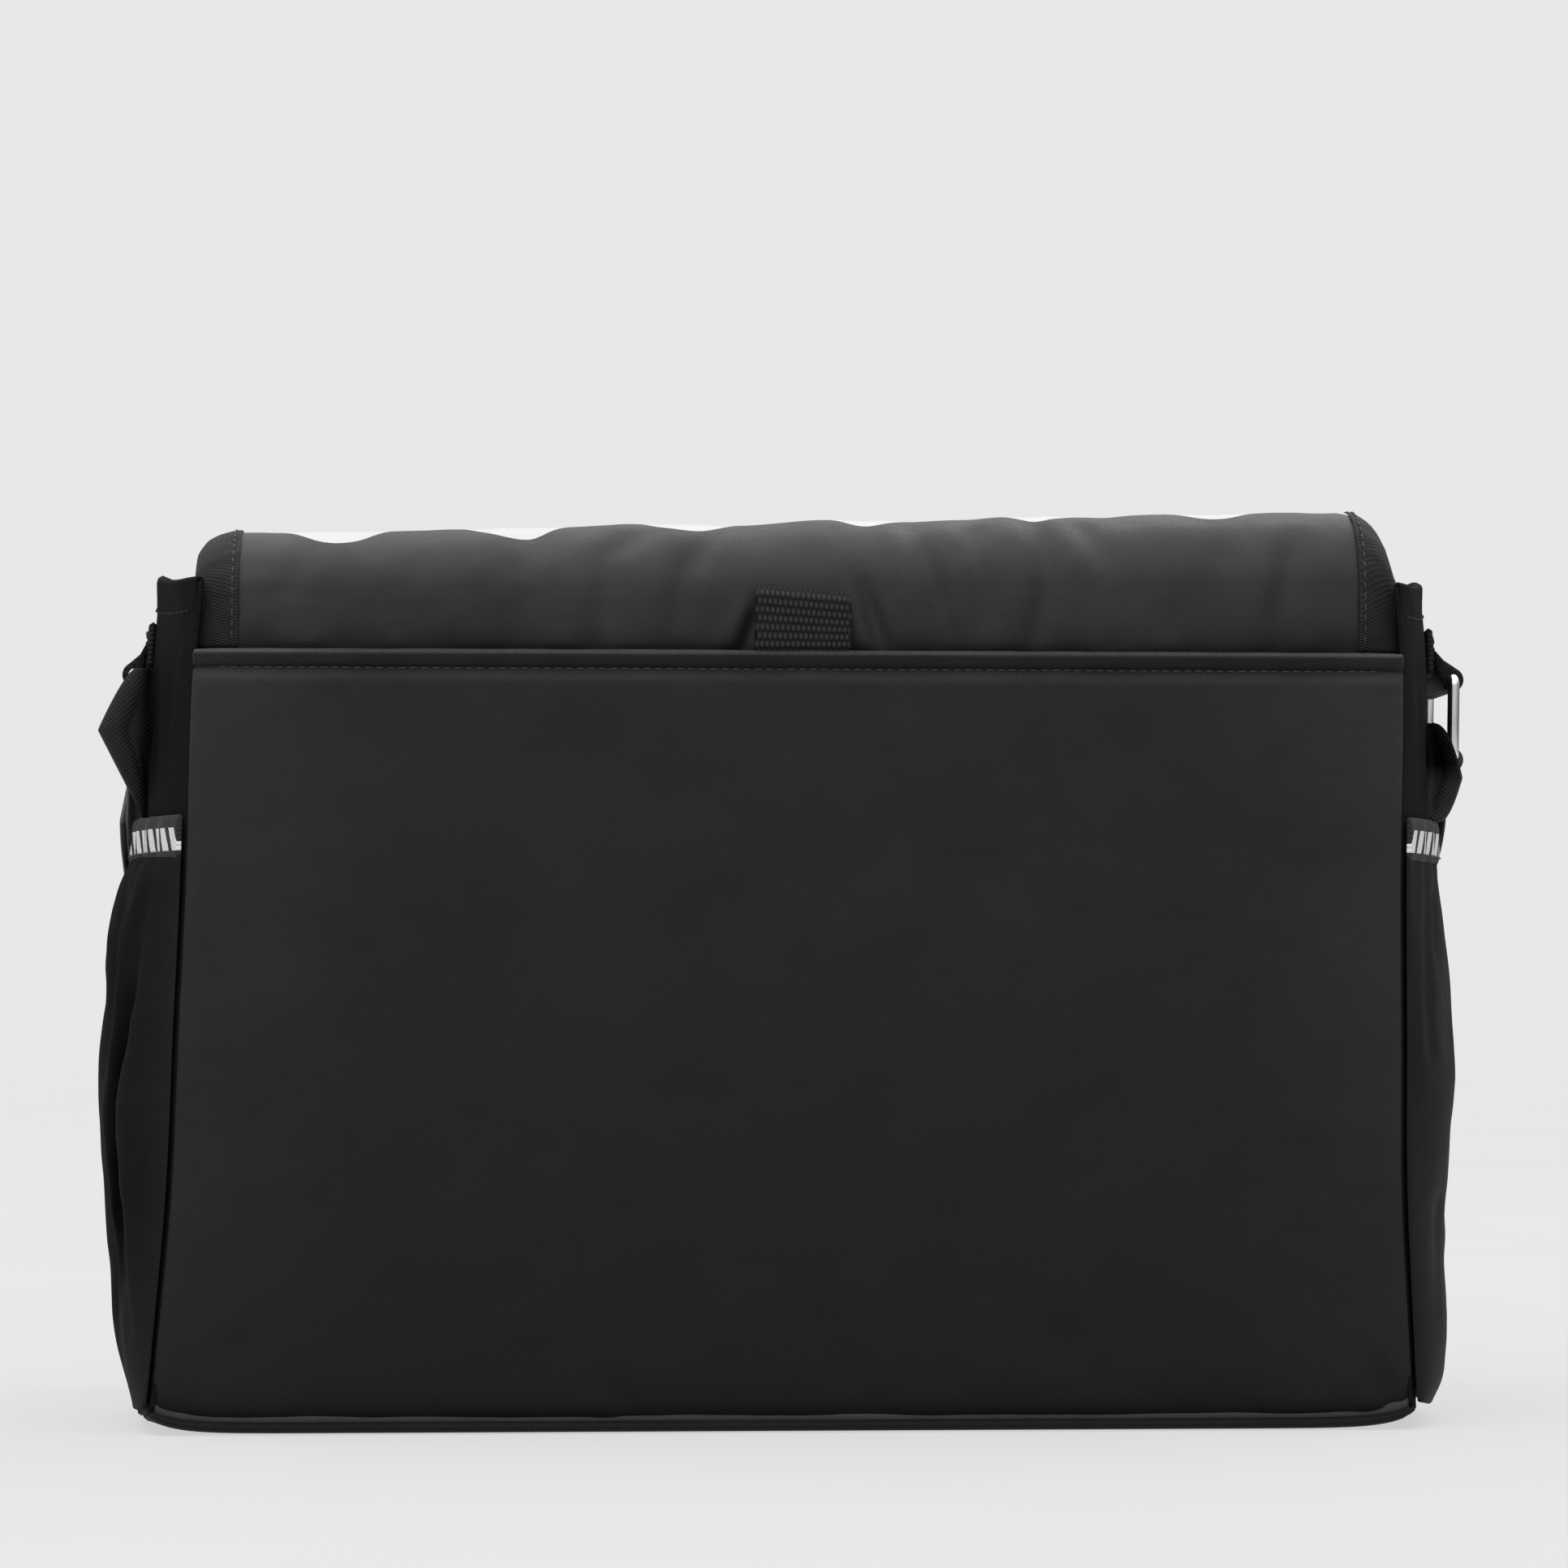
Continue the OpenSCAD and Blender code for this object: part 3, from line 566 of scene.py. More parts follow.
def wave_print(tree, u, v, under, grain):
    """Plain white wavy stripes down the flap, the first just reaching over its top edge."""
    shifted = math_node(tree, "SUBTRACT", u, WAVE_CREST_X)
    wave = math_node(tree, "COSINE", math_node(tree, "MULTIPLY", shifted, 2 * math.pi / WAVE_PERIOD))
    swell = math_node(tree, "COSINE", math_node(tree, "MULTIPLY", math_node(tree, "SUBTRACT", u, 0.14), 14.0))
    height = math_node(tree, "ADD", math_node(tree, "MULTIPLY", wave, 0.0085), math_node(tree, "MULTIPLY", swell, 0.003))
    along = math_node(tree, "ADD", math_node(tree, "SUBTRACT", v, PRINT_START), height)
    share = math_node(tree, "DIVIDE", along, 0.2)
    # Painted shadow where the slip pocket shades the flap's sewn end.
    under = scaled(tree, under, tucked_tone(tree, u, v))
    white = (1, 1, 1)
    black = (0, 0, 0)
    stops = [(0, black), (0.005, white), (0.16, black), (0.28, white), (0.40, black), (0.54, white), (0.62, black)]
    mask = ramp(tree, share, stops, constant=True)
    broken = math_node(tree, "GREATER_THAN", grain, 0.36)
    amount = math_node(tree, "MULTIPLY", mask, math_node(tree, "ADD", math_node(tree, "MULTIPLY", broken, 0.12), 0.86))
    mixed = node(tree, "ShaderNodeMix", set_data_type="RGBA", Factor=amount, i6=under, i7=(0.62, 0.62, 0.61, 1))
    return mixed.outputs[2]


def bar_print(tree, u, v, under, grain):
    """White slanted bars woven along the middle of the elastic tape."""
    slant = math_node(tree, "ADD", u, math_node(tree, "MULTIPLY", v, 0.35))
    turn = math_node(tree, "FRACT", math_node(tree, "DIVIDE", slant, 0.0052))
    bar = math_node(tree, "LESS_THAN", turn, 0.62)
    high = math_node(tree, "LESS_THAN", math_node(tree, "ABSOLUTE", math_node(tree, "SUBTRACT", v, 0.0060)), 0.0037)
    amount = math_node(tree, "MULTIPLY", math_node(tree, "MULTIPLY", bar, high), 0.92)
    mixed = node(tree, "ShaderNodeMix", set_data_type="RGBA", Factor=amount, i6=under, i7=(0.75, 0.75, 0.74, 1))
    return mixed.outputs[2]


BEAD_ACROSS = 0.00167
BEAD_ALONG = 0.0026


def bead_shade(tree, u, v, under, grain):
    """Pale beads of coarse webbing with painted shade in the dark gaps between them, in step with the beads of its
    mesh.
    """
    row = math_node(tree, "DIVIDE", v, BEAD_ALONG)
    odd = math_node(tree, "MODULO", math_node(tree, "FLOOR", row), 2.0)
    column = math_node(tree, "ADD", math_node(tree, "DIVIDE", u, BEAD_ACROSS), math_node(tree, "MULTIPLY", odd, 0.5))
    across = math_node(tree, "ABSOLUTE", math_node(tree, "SINE", math_node(tree, "MULTIPLY", column, math.pi)))
    along = math_node(tree, "ABSOLUTE", math_node(tree, "SINE", math_node(tree, "MULTIPLY", row, math.pi)))
    bead = math_node(tree, "POWER", math_node(tree, "MULTIPLY", across, along), 1.5)
    mixed = node(tree, "ShaderNodeMix", set_data_type="RGBA", Factor=bead, i6=(0.003, 0.003, 0.003, 1), i7=(0.036, 0.037, 0.038, 1))
    return mixed.outputs[2]


def scaled(tree, colour, amount):
    """A colour made darker or paler by a number."""
    return node(tree, "ShaderNodeVectorMath", set_operation="SCALE", i0=colour, Scale=amount).outputs[0]


def bell(tree, value, centre, width):
    """1 where a value is at a centre, fading to 0 about a width away."""
    off = math_node(tree, "DIVIDE", math_node(tree, "SUBTRACT", value, centre), width)
    return math_node(tree, "EXPONENT", math_node(tree, "MULTIPLY", math_node(tree, "MULTIPLY", off, off), -1.0))


def panel_painted_light(tree, u, v, under, grain):
    """Painted light on the slip pocket: painted shade towards its foot, on its hem band and at its lowest edge, and
    painted highlights on its hem's edge, on the ridge below the stitches and beside its side seams.
    """
    height = node(tree, "ShaderNodeMapRange", Value=v, **{"From Min": 0.0, "From Max": HEM_Z, "To Min": 0.42, "To Max": 1.34})
    stitch_z = HEM_Z - HEM_BAND
    band = node(tree, "ShaderNodeMapRange", Value=v, **{
        "From Min": stitch_z - 0.0004, "From Max": stitch_z + 0.0004, "To Min": 1.0, "To Max": 0.50})
    tone = math_node(tree, "MULTIPLY", height.outputs[0], band.outputs[0])
    tone = math_node(tree, "ADD", tone, math_node(tree, "MULTIPLY", bell(tree, v, stitch_z - 0.0028, 0.0014), 0.40))
    tone = math_node(tree, "ADD", tone, math_node(tree, "MULTIPLY", bell(tree, v, HEM_Z - 0.0008, 0.0007), 3.0))
    beside = bell(tree, math_node(tree, "ABSOLUTE", u), SEAM_LOW - 0.016, 0.030)
    tone = math_node(tree, "MULTIPLY", tone, math_node(tree, "ADD", math_node(tree, "MULTIPLY", beside, 0.5), 1.0))
    return scaled(tree, under, math_node(tree, "MULTIPLY", tone, foot_tone(tree, u, v)))


def foot_tone(tree, u, v):
    """The slip pocket's lowest edge is in shadow."""
    return math_node(tree, "SUBTRACT", 1.0, math_node(tree, "MULTIPLY", bell(tree, v, 0.0034, 0.0036), 0.96))


def pocket_tone(tree, u, v):
    """Painted shade in the deep fold of the right pocket, where no light reaches, and a painted highlight on the ridge
    beside it.
    """
    middle = math_node(tree, "ADD", math_node(tree, "MULTIPLY", v, VALLEY_SLOPE), VALLEY_FOOT)
    along = node(tree, "ShaderNodeMapRange", Value=v, **{"From Min": 0.118, "From Max": 0.150, "To Min": 1.0, "To Max": 0.0})
    valley = math_node(tree, "MULTIPLY", bell(tree, math_node(tree, "SUBTRACT", u, middle), 0.0, 0.0062), along.outputs[0])
    ridge = math_node(tree, "MULTIPLY", bell(tree, math_node(tree, "SUBTRACT", u, middle), 0.0115, 0.0030), along.outputs[0])
    tone = math_node(tree, "SUBTRACT", 1.0, math_node(tree, "MULTIPLY", valley, 0.98))
    return math_node(tree, "ADD", tone, math_node(tree, "MULTIPLY", ridge, 0.8))


def pocket_shade(tree, u, v, under, grain):
    return scaled(tree, under, pocket_tone(tree, u, v))


def right_fold_tone(tree, u, v):
    """The right strap fold is in shadow where it turns in against the bag."""
    inner = bell(tree, u, 0.2130, 0.0034)
    return math_node(tree, "SUBTRACT", 1.0, math_node(tree, "MULTIPLY", inner, 0.97))


def right_fold_shade(tree, u, v, under, grain):
    return scaled(tree, under, right_fold_tone(tree, u, v))


def left_fold_tone(tree, u, v):
    """The left strap fold is in shadow under its ring and paler where it bulges below."""
    return node(tree, "ShaderNodeMapRange", Value=v, **{
        "From Min": 0.2105, "From Max": 0.2175, "To Min": 1.0, "To Max": 0.05}).outputs[0]


def left_fold_shade(tree, u, v, under, grain):
    return scaled(tree, under, left_fold_tone(tree, u, v))


HEM_BAND = 0.0062
VALLEY_SLOPE = 0.125
VALLEY_FOOT = 0.0178
BLACK = (0.0098, 0.0098, 0.0108)
NYLON = cloth("nylon", BLACK, 0.58, (0.0010, 0.0010), 0.00013, specular=0.20, sheen=0.04, mottle=0.28)
PANEL_NYLON = cloth(
    "panel_nylon", BLACK, 0.58, (0.0010, 0.0010), 0.00013, specular=0.18, sheen=0.04, mottle=0.28,
    print_on=panel_painted_light,
)
# Painted shade: a darker copy of the black nylon for the base, whose rim would otherwise catch the floor's light.
SHADED_BASE_NYLON = cloth("base_nylon", (0.0075, 0.0075, 0.0082), 0.7, (0.0010, 0.0010), 0.00012, specular=0.10, sheen=0.0)
# Painted shade: darker copies of the black nylon for the side walls, their mouth bindings and the left side pocket, for
# the shade on the bag's sides.
SHADED_SIDE_NYLON = cloth("side_nylon", (0.0036, 0.0036, 0.0041), 0.65, (0.0010, 0.0010), 0.00012, specular=0.05, sheen=0.0)
SHADED_POCKET_NYLON = cloth("pocket_nylon", (0.0055, 0.0055, 0.0062), 0.6, (0.0008, 0.0008), 0.00009, specular=0.10, sheen=0.0)
CREASED_NYLON = cloth(
    "creased_nylon", (0.0098, 0.0098, 0.0106), 0.6, (0.0008, 0.0008), 0.00009, specular=0.02, sheen=0.0,
    print_on=pocket_shade,
)
SATIN = cloth(
    "flap_nylon", (0.0145, 0.0145, 0.0153), 0.42, (0.0007, 0.0007), 0.00005, specular=0.33, sheen=0.03,
    print_on=wave_print,
)
LINING = cloth("lining_cloth", (0.045, 0.045, 0.048), 0.7, (0.0008, 0.0008), 0.00005, specular=0.2)
BINDING = cloth("binding_tape", (0.0085, 0.0085, 0.0092), 0.6, (0.0035, 0.0009), 0.00012, specular=0.18, sheen=0.06)
WEBBING = cloth("webbing", (0.021, 0.021, 0.022), 0.55, (0.0019, 0.0024), 0.00022, specular=0.3, sheen=0.2, wear=0.8)
TAB_WEBBING = cloth("tab_webbing", (0.007, 0.0072, 0.0072), 0.55, (0.0016, 0.0016), 0.0002, specular=0.10, sheen=0.02)
FOLD_WEBBING = {
    1: cloth("right_fold_webbing", (0.020, 0.0205, 0.0205), 0.55, (0.0016, 0.0016), 0.0002, specular=0.03, sheen=0.0,
             print_on=right_fold_shade),
    -1: cloth("left_fold_webbing", (0.022, 0.0225, 0.0225), 0.55, (0.0016, 0.0016), 0.0002, specular=0.03, sheen=0.0,
              print_on=left_fold_shade),
}
CORD_WEBBING = cloth(
    "coarse_webbing", (0.02, 0.02, 0.021), 0.5, (0.0006, 0.0006), 0.00006, specular=0.14, sheen=0.02,
    print_on=bead_shade,
)
ELASTIC = cloth(
    "elastic", (0.010, 0.010, 0.011), 0.65, (0.0011, 0.0016), 0.00018, specular=0.2, print_on=bar_print
)
DARK_THREAD = cloth("dark_thread", (0.0015, 0.0015, 0.0015), 0.6, (0.0006, 0.0006), 0.00003, specular=0.1)
THREAD = cloth("thread", (0.026, 0.026, 0.028), 0.5, (0.0006, 0.0006), 0.00003, specular=0.4)
CHROME = hard("chrome", (0.86, 0.86, 0.88), 0.12, 1.0)
STEEL = hard("snap_steel", (0.62, 0.62, 0.64), 0.28, 1.0)
ZIP_METAL = hard("zip_metal", (0.55, 0.55, 0.57), 0.3, 1.0)
PLASTIC = hard("black_plastic", (0.015, 0.015, 0.016), 0.42, 0.0, grain=0.00008, scale=900.0)
BOARD = hard("board", (0.06, 0.06, 0.062), 0.7, 0.0, grain=0.0001, scale=300.0)


# ---- Placing pieces ----

BACK_FOLD = ("bag", "flap_top", (0, 0.056, 0.262), (0, 0.018, 0.300))
FRONT_FOLD = ("flap_top", "flap_front", (0, -0.062, 0.300), (0, -0.085, 0.262))


def place(piece, body, slot, *nodes):
    """The piece rides on a body, or, lying across a fold, keeps its place with its transform applied; it stands for the
    CAD nodes named, which are hidden.
    """
    if isinstance(body, tuple):
        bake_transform(piece)
    else:
        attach(piece, body)
    if nodes:
        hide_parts(*nodes)
    return piece


# ---- Body: back, front, sides and base ----

BACK_CREASES = [
    ([(0.0, 0.056), (-0.012, 0.028), (-0.019, 0.008)], 0.006, 0.0011),
    ([(0.058, 0.018), (0.048, 0.006)], 0.004, 0.0009),
    ([(-0.070, 0.052), (-0.083, 0.034), (-0.099, 0.022)], 0.008, 0.0010),
    ([(-0.186, 0.026), (-0.199, 0.004)], 0.004, 0.0012),
    ([(-0.045, 0.075), (-0.055, 0.060)], 0.007, 0.0006),
    ([(0.165, 0.040), (0.190, 0.012)], 0.007, 0.0009),
    ([(0.120, 0.235), (0.128, 0.205)], 0.009, 0.0004),
    ([(-0.120, 0.238), (-0.112, 0.205)], 0.009, 0.0004),
]


PANEL_W = 2 * SEAM_LOW
PANEL_STEP = 0.0048


def panel_heights():
    return settle(
        PANEL_W, HEM_Z, PANEL_STEP, lambda share: 0.004 + 0.008 * (1 - share) ** 2, lambda share: 0.004 + 0 * share,
        seed=201, pressure=0.3, bending=0.3,
    )


PANEL_FOLDS = panel_heights()


def slip_pocket_surface(x, z):
    """Outer face of the padded panel: crowned, rolled in at its seams, with a flat sewn hem."""
    side = seam_x(z) - np.abs(x)
    hem_line = HEM_Z - HEM_BAND
    below = hem_line - z
    roll = 1 - np.exp(-side / 0.0035)
    foot = 1 - np.exp(-(z - 0.0035) / 0.004)
    crown = 0.0012 * (1 - (x / seam_x(z)) ** 2) * np.sin(np.pi * np.clip(z / 0.26, 0, 1)) ** 0.7
    puff = 0.0024 * smooth(below / 0.0045) * (0.35 + 0.65 * np.exp(-np.maximum(below, 0) / 0.03))
    groove = 0.0009 * np.exp(-((below / 0.0009) ** 2))
    band = 0.0012 * smooth(-below / HEM_BAND)
    under = 0.0030 * np.exp(-(z - 0.003) / 0.012)
    pucker = 0.00035 * field(x, z * 0.2, 0.0065, 3) * np.exp(-np.abs(below) / 0.006)
    waves = 0.0004 * field(x, z, 0.055, 5) + 0.0002 * field(x, z, 0.016, 6)
    waves = waves + np.clip(sample(PANEL_FOLDS, PANEL_W, HEM_Z, x, z), -0.0012, 0.0035)
    y = HALF_D - 0.0012 + 0.0012 * roll * foot + (crown + puff + waves) * roll * foot - groove + pucker + band - under
    for route, width, depth in BACK_CREASES:
        y = y + crease(x, z, route, width, depth)
    return y


def make_slip_pocket():
    top = HEM_Z - 0.0012
    rows = np.concatenate([spread(0.0030, 0.235, 100), spread(0.2365, HEM_Z - HEM_BAND - 0.001, 10),
                           spread(HEM_Z - HEM_BAND - 0.0005, HEM_Z - HEM_BAND + 0.0014, 6),
                           spread(HEM_Z - 0.0042, top, 5)])
    share = np.sin(spread(-1, 1, 171) * math.pi / 2 * 0.94) / math.sin(math.pi / 2 * 0.94)
    u, z = np.meshgrid(share, rows)
    x = u * (seam_x(z) - 0.0001)
    outer = points(x, slip_pocket_surface(x, z), z)
    inner = points(x * 0.997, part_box("back_pocket")[0].y + 0 * x, z)
    piece = slab("slip_pocket_cloth", outer, inner, [PANEL_NYLON, LINING], uv=np.stack([x, z], -1), roundness=0.3)
    place(piece, "bag", "shell_nylon", "back_pocket")
    along = spread(-seam_x(HEM_Z) + 0.006, seam_x(HEM_Z) - 0.006, 300)
    line = HEM_Z - HEM_BAND
    path = points(along, slip_pocket_surface(along, line + 0 * along) + 0.0002, line)
    place(stitches("slip_pocket_hem_stitches", path, (0, 1, 0), THREAD), "bag", "binding")


def wall_grid(y, low, high, across, up, seed, bulge=0.0):
    """A wall's face at depth y between the side walls."""
    z = spread(low, high, up)
    u, z = np.meshgrid(spread(-1, 1, across), z)
    x = u * (wall_x(z, abs(y)) - SHELL_T - 0.0004)
    wave = 0.0007 * field(x, z, 0.05, seed) + bulge * (1 - u**2)
    fade = smooth((1 - np.abs(u)) / 0.06)
    return x, y + wave * fade, z


def make_back_wall():
    low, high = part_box("back_foam")[0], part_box("back_panel")[1]
    x, y, z = wall_grid(high.y - 0.0004, BASE_T, high.z, 61, 45, 11)
    outer = points(x, y, z)
    inner = points(x * 0.998, low.y + 0.0006, z)
    piece = slab("back_wall_cloth", outer, inner, [NYLON])
    place(piece, "bag", "shell_nylon", "back_panel", "back_foam")


def make_front_wall():
    low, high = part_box("front_panel")[0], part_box("front_foam")[1]
    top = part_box("front_panel")[1].z
    x, y, z = wall_grid(low.y, BASE_T, top, 121, 81, 12)
    side = seam_x(z) - np.abs(x)
    y = y + 0.0016 * np.exp(-side / 0.004) - 0.0012 * smooth(side / 0.03)
    outer = points(x, np.maximum(y, low.y - 0.0015), z)
    inner = points(x * 0.998, high.y - 0.0004, z)
    piece = slab("front_wall_cloth", outer, inner, [NYLON])
    place(piece, "bag", "shell_nylon", "front_panel", "front_foam")


SIDE_CREASES = {
    1: [
        ([(0.050, 0.262), (0.046, 0.225), (0.050, 0.205)], 0.0045, 0.0012),
        ([(0.030, 0.235), (0.040, 0.200)], 0.005, 0.0014),
        ([(-0.035, 0.260), (-0.025, 0.215)], 0.006, 0.0014),
    ],
    -1: [
        ([(0.047, 0.255), (0.043, 0.215)], 0.005, 0.0011),
        ([(0.028, 0.225), (0.020, 0.200)], 0.006, 0.0010),
        ([(-0.030, 0.262), (-0.034, 0.215)], 0.006, 0.0014),
    ],
}


def mouth_dip(z, y):
    """The side walls' upper edges slope down towards the back."""
    return 0.006 * smooth((z - 0.235) / 0.045) * smooth((y + 0.01) / 0.060)


def side_wall_x(side, z, y):
    """Outer face of a side wall, with soft upright folds that die away at its seams."""
    inside = HALF_D - np.abs(y)
    fade = smooth(inside / 0.012)
    waves = 0.0007 * field(y, z * 0.35, 0.014, 20 + side) + 0.0008 * field(y, z, 0.05, 23 + side)
    x = wall_x(z, y) + waves * fade - 0.0022 * np.exp(-inside / 0.0022)
    for route, width, depth in SIDE_CREASES[side]:
        x = x + crease(y, z, route, width, depth) * fade
    return x


def make_side_walls():
    for name, side in SIDES:
        y, z = np.meshgrid(
            np.sin(spread(-1, 1, 61) * math.pi / 2 * 0.9) / math.sin(math.pi / 2 * 0.9) * (HALF_D - 0.0006),
            spread(BASE_T, SIDE_TOP - 0.0004, 110),
        )
        y = y - 0.0018 * smooth((y - HALF_D + 0.006) / 0.006)
        x = side_wall_x(side, z, y)
        z = z - mouth_dip(z, y)
        outer = points(side * x, y, z)
        inner = points(side * (x - SHELL_T), y, z)
        piece = slab(f"side_wall_cloth_{name}", outer, inner, [SHADED_SIDE_NYLON, LINING])
        place(piece, "bag", "shell_nylon", f"gusset_{name}")


def make_base():
    low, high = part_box("base_panel")
    u, w = np.meshgrid(spread(-1, 1, 141), spread(-1, 1, 41))
    y = w * (HALF_D - 0.0004)
    x = u * (SEAM_LOW + arc_rise(y, HALF_D, BASE_BULGE) - 0.0006)
    edge = np.minimum((1 - np.abs(u)) * SEAM_LOW, (1 - np.abs(w)) * HALF_D)
    lift = 0.0007 * np.exp(-edge / 0.0012)
    top = points(x, y, high.z + 0.0008 - lift)
    under = points(x, y, low.z + 0.00005 + lift)
    piece = slab("base_cloth", under, top, [SHADED_BASE_NYLON], roundness=0.55)
    place(piece, "bag", "shell_nylon", "base_panel")


TAPE_SHAPE = [(-1, 1), (-0.55, 1), (0, 1), (0.55, 0.7), (0.85, 0), (0.55, -0.7), (0, -1), (-0.55, -1), (-1, -1)]


def tape_over_edge(name, edge, inward, normal, width, half, material, body, slot, nodes=(), seed=0):
    """A folded tape over an edge: edge points, the way into the cloth, its normal, and half its thickness."""
    edge = np.asarray(edge, float)
    count = len(edge)
    reach = np.concatenate([spread(width, 0.0015, 6), [0.0, -half * 0.75, -half - TAPE_T / 2, -half * 0.75, 0.0],
                            spread(0.0015, width, 6)])
    lift = np.concatenate([np.full(6, 1.0), [1.0, 0.75, 0.0, -0.75, -1.0], np.full(6, -1.0)])
    wave = 0.00025 * field(spread(0, count * 0.002, count)[:, None], reach[None, :], 0.006, seed)
    offset = lift[None, :] * (half + TAPE_T / 2) + wave * np.sign(lift)[None, :]
    middle = edge[:, None] + inward[:, None] * reach[None, :, None] + normal[:, None] * offset[..., None]
    piece = cloth_slab(name, middle, TAPE_T, [material])
    return place(piece, body, slot, *nodes)


def make_mouth_binding():
    """Bound top edges of both side walls and the front wall."""
    width = 0.0112
    for name, side in SIDES:
        y = spread(-HALF_D + 0.002, HALF_D - 0.0030, 72)
        z = np.full_like(y, SIDE_TOP)
        edge = points(side * (side_wall_x(side, z, y) - SHELL_T / 2), y, z - mouth_dip(z, y))
        inward = points(0 * y, 0 * y, -np.ones_like(y))
        normal = points(side * np.ones_like(y), 0 * y, 0 * y)
        nodes = ("mouth_binding",) if side > 0 else ()
        tape_over_edge(f"mouth_binding_{name}", edge, inward, normal, width, SHELL_T / 2, SHADED_SIDE_NYLON, "bag",
                       "binding", nodes, seed=31 + side)
        low = z - width + 0.0016 - mouth_dip(z, y)
        path = points(side * (side_wall_x(side, z, y) + TAPE_T + 0.0002), y, low)
        place(stitches(f"mouth_stitches_{name}", path, (side, 0, 0), DARK_THREAD), "bag", "binding")
    low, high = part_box("front_panel")
    half = seam_x(high.z) - SHELL_T - 0.001
    x = spread(-half, half, 160)
    y = np.full_like(x, low.y + SHELL_T / 2)
    edge = points(x, y, high.z)
    inward = points(0 * x, 0 * x, -np.ones_like(x))
    normal = points(0 * x, -np.ones_like(x), 0 * x)
    tape_over_edge("mouth_binding_front", edge, inward, normal, width, SHELL_T / 2 + 0.0009, BINDING, "bag",
                   "binding", seed=35)


def lining_ring(z, inset):
    """Plan of the lining at one height, inset by a distance."""
    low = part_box("lining")[0].y + inset
    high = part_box("lining")[1].y - inset
    corner = 0.004
    y = low + (high - low) * (1 - np.cos(spread(0, 1, 19) * math.pi)) / 2
    near = np.minimum(y - low, high - y)
    round_off = corner - np.sqrt(np.maximum(corner**2 - np.maximum(corner - near, 0) ** 2, 0))
    x = wall_x(z, y) - SHELL_T - 0.0012 - inset - round_off
    across = spread(-1, 1, 61)[1:-1]
    wave_f = 0.0012 * field(across * 0.2, z + 0 * across, 0.035, 41) * smooth((1 - np.abs(across)) / 0.1)
    wave_b = 0.0010 * field(across * 0.2, z + 0 * across, 0.035, 43) * smooth((1 - np.abs(across)) / 0.1)
    right = points(x, y, z)
    back = points(-across * x[-1], high - np.abs(wave_b), z)
    left = points(-x[::-1], y[::-1], z)
    front = points(across * x[0], low + np.abs(wave_f), z)
    return np.concatenate([right, back, left, front])


def make_lining():
    low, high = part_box("lining")
    heights = spread(low.z, high.z, 40)
    outer = [lining_ring(z, 0) for z in heights]
    inner = [lining_ring(z, 0.001) for z in heights[::-1][:-1]] + [lining_ring(low.z + 0.001, 0.001)]
    rings = np.array(outer + inner)
    rings = np.roll(rings, -9, axis=1)
    piece = loft("lining_cloth", rings, LINING)
    place(piece, "bag", "lining", "lining")


def make_inner_pocket():
    """Flat slip pocket on the front of the lining."""
    low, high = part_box("inner_pocket")
    u, w = np.meshgrid(spread(-1, 1, 81), spread(0, 1, 51))
    x = u * high.x
    z = low.z + w * (high.z - low.z)
    side = (1 - np.abs(u)) * high.x
    stand = smooth(side / 0.012) * smooth((z - low.z) / 0.012)
    depth = high.y - low.y
    y = low.y + 0.0012 + (depth - 0.0018) * stand * (0.45 + 0.55 * w) + 0.0004 * field(x, z, 0.03, 51)
    band = 0.0005 * smooth((z - (high.z - 0.012)) / 0.001)
    outer = points(x, np.minimum(y + band, high.y), z)
    inner = points(x, np.minimum(y, high.y - 0.0005) - 0.0009, z)
    piece = slab("inner_pocket_cloth", outer, inner, [LINING])
    place(piece, "bag", "lining", "inner_pocket")


# ---- Front pocket and snaps ----


def make_front_pocket():
    low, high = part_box("front_pocket")
    u, w = np.meshgrid(spread(-1, 1, 121), spread(0, 1, 81))
    x = u * high.x
    z = low.z + w * (high.z - low.z)
    side = (1 - np.abs(u)) * high.x
    stand = np.sqrt(smooth(side / 0.014)) * np.sqrt(smooth((z - low.z) / 0.014))
    depth = high.y - low.y
    sag = 0.0007 * field(x, z, 0.05, 61) + 0.0003 * field(x, z, 0.02, 62)
    y = high.y - 0.0010 - (depth - 0.0022) * stand - sag * stand
    band = 0.0006 * smooth((z - (high.z - 0.014)) / 0.0012)
    outer = points(x, np.maximum(y - band, low.y), z)
    inner = points(x, outer[..., 1] + 0.0014, z)
    piece = slab("front_pocket_cloth", outer, np.minimum(inner, [9, high.y - 0.0002, 9]), [NYLON, LINING])
    place(piece, "bag", "shell_nylon", "front_pocket")
    along = spread(-high.x + 0.02, high.x - 0.02, 200)
    path = points(along, low.y + 0.0008, high.z - 0.014)
    place(stitches("front_pocket_stitches", path, (0, -1, 0), THREAD), "bag", "binding")


def make_snaps():
    for name, side in SIDES:
        low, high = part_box(f"snap_socket_{name}")
        centre = ((low.x + high.x) / 2, (low.z + high.z) / 2)
        r = (high.x - low.x) / 2
        socket = [(0.0002, high.y), (r * 0.9, high.y), (r, high.y - 0.0004), (r, low.y + 0.0004),
                  (r - 0.0005, low.y), (0.0056, low.y), (0.0046, low.y + 0.0004), (0.0044, low.y + 0.0009),
                  (0.0002, low.y + 0.0010)]
        piece = lathe_y(f"magnet_socket_{name}", socket, centre, STEEL)
        place(piece, "bag", "snap_metal", f"snap_socket_{name}")
        low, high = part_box(f"snap_stud_{name}")
        stud = [(0.0002, low.y), (r * 0.94, low.y), (r, low.y + 0.0003), (r - 0.0006, low.y + 0.0009),
                (0.0034, low.y + 0.0011), (0.0025, low.y + 0.0012), (0.0024, high.y - 0.0003),
                (0.0018, high.y), (0.0002, high.y)]
        piece = lathe_y(f"magnet_stud_{name}", stud, centre, STEEL)
        place(piece, "flap_front", "snap_metal", f"snap_stud_{name}")


# ---- Side pockets ----

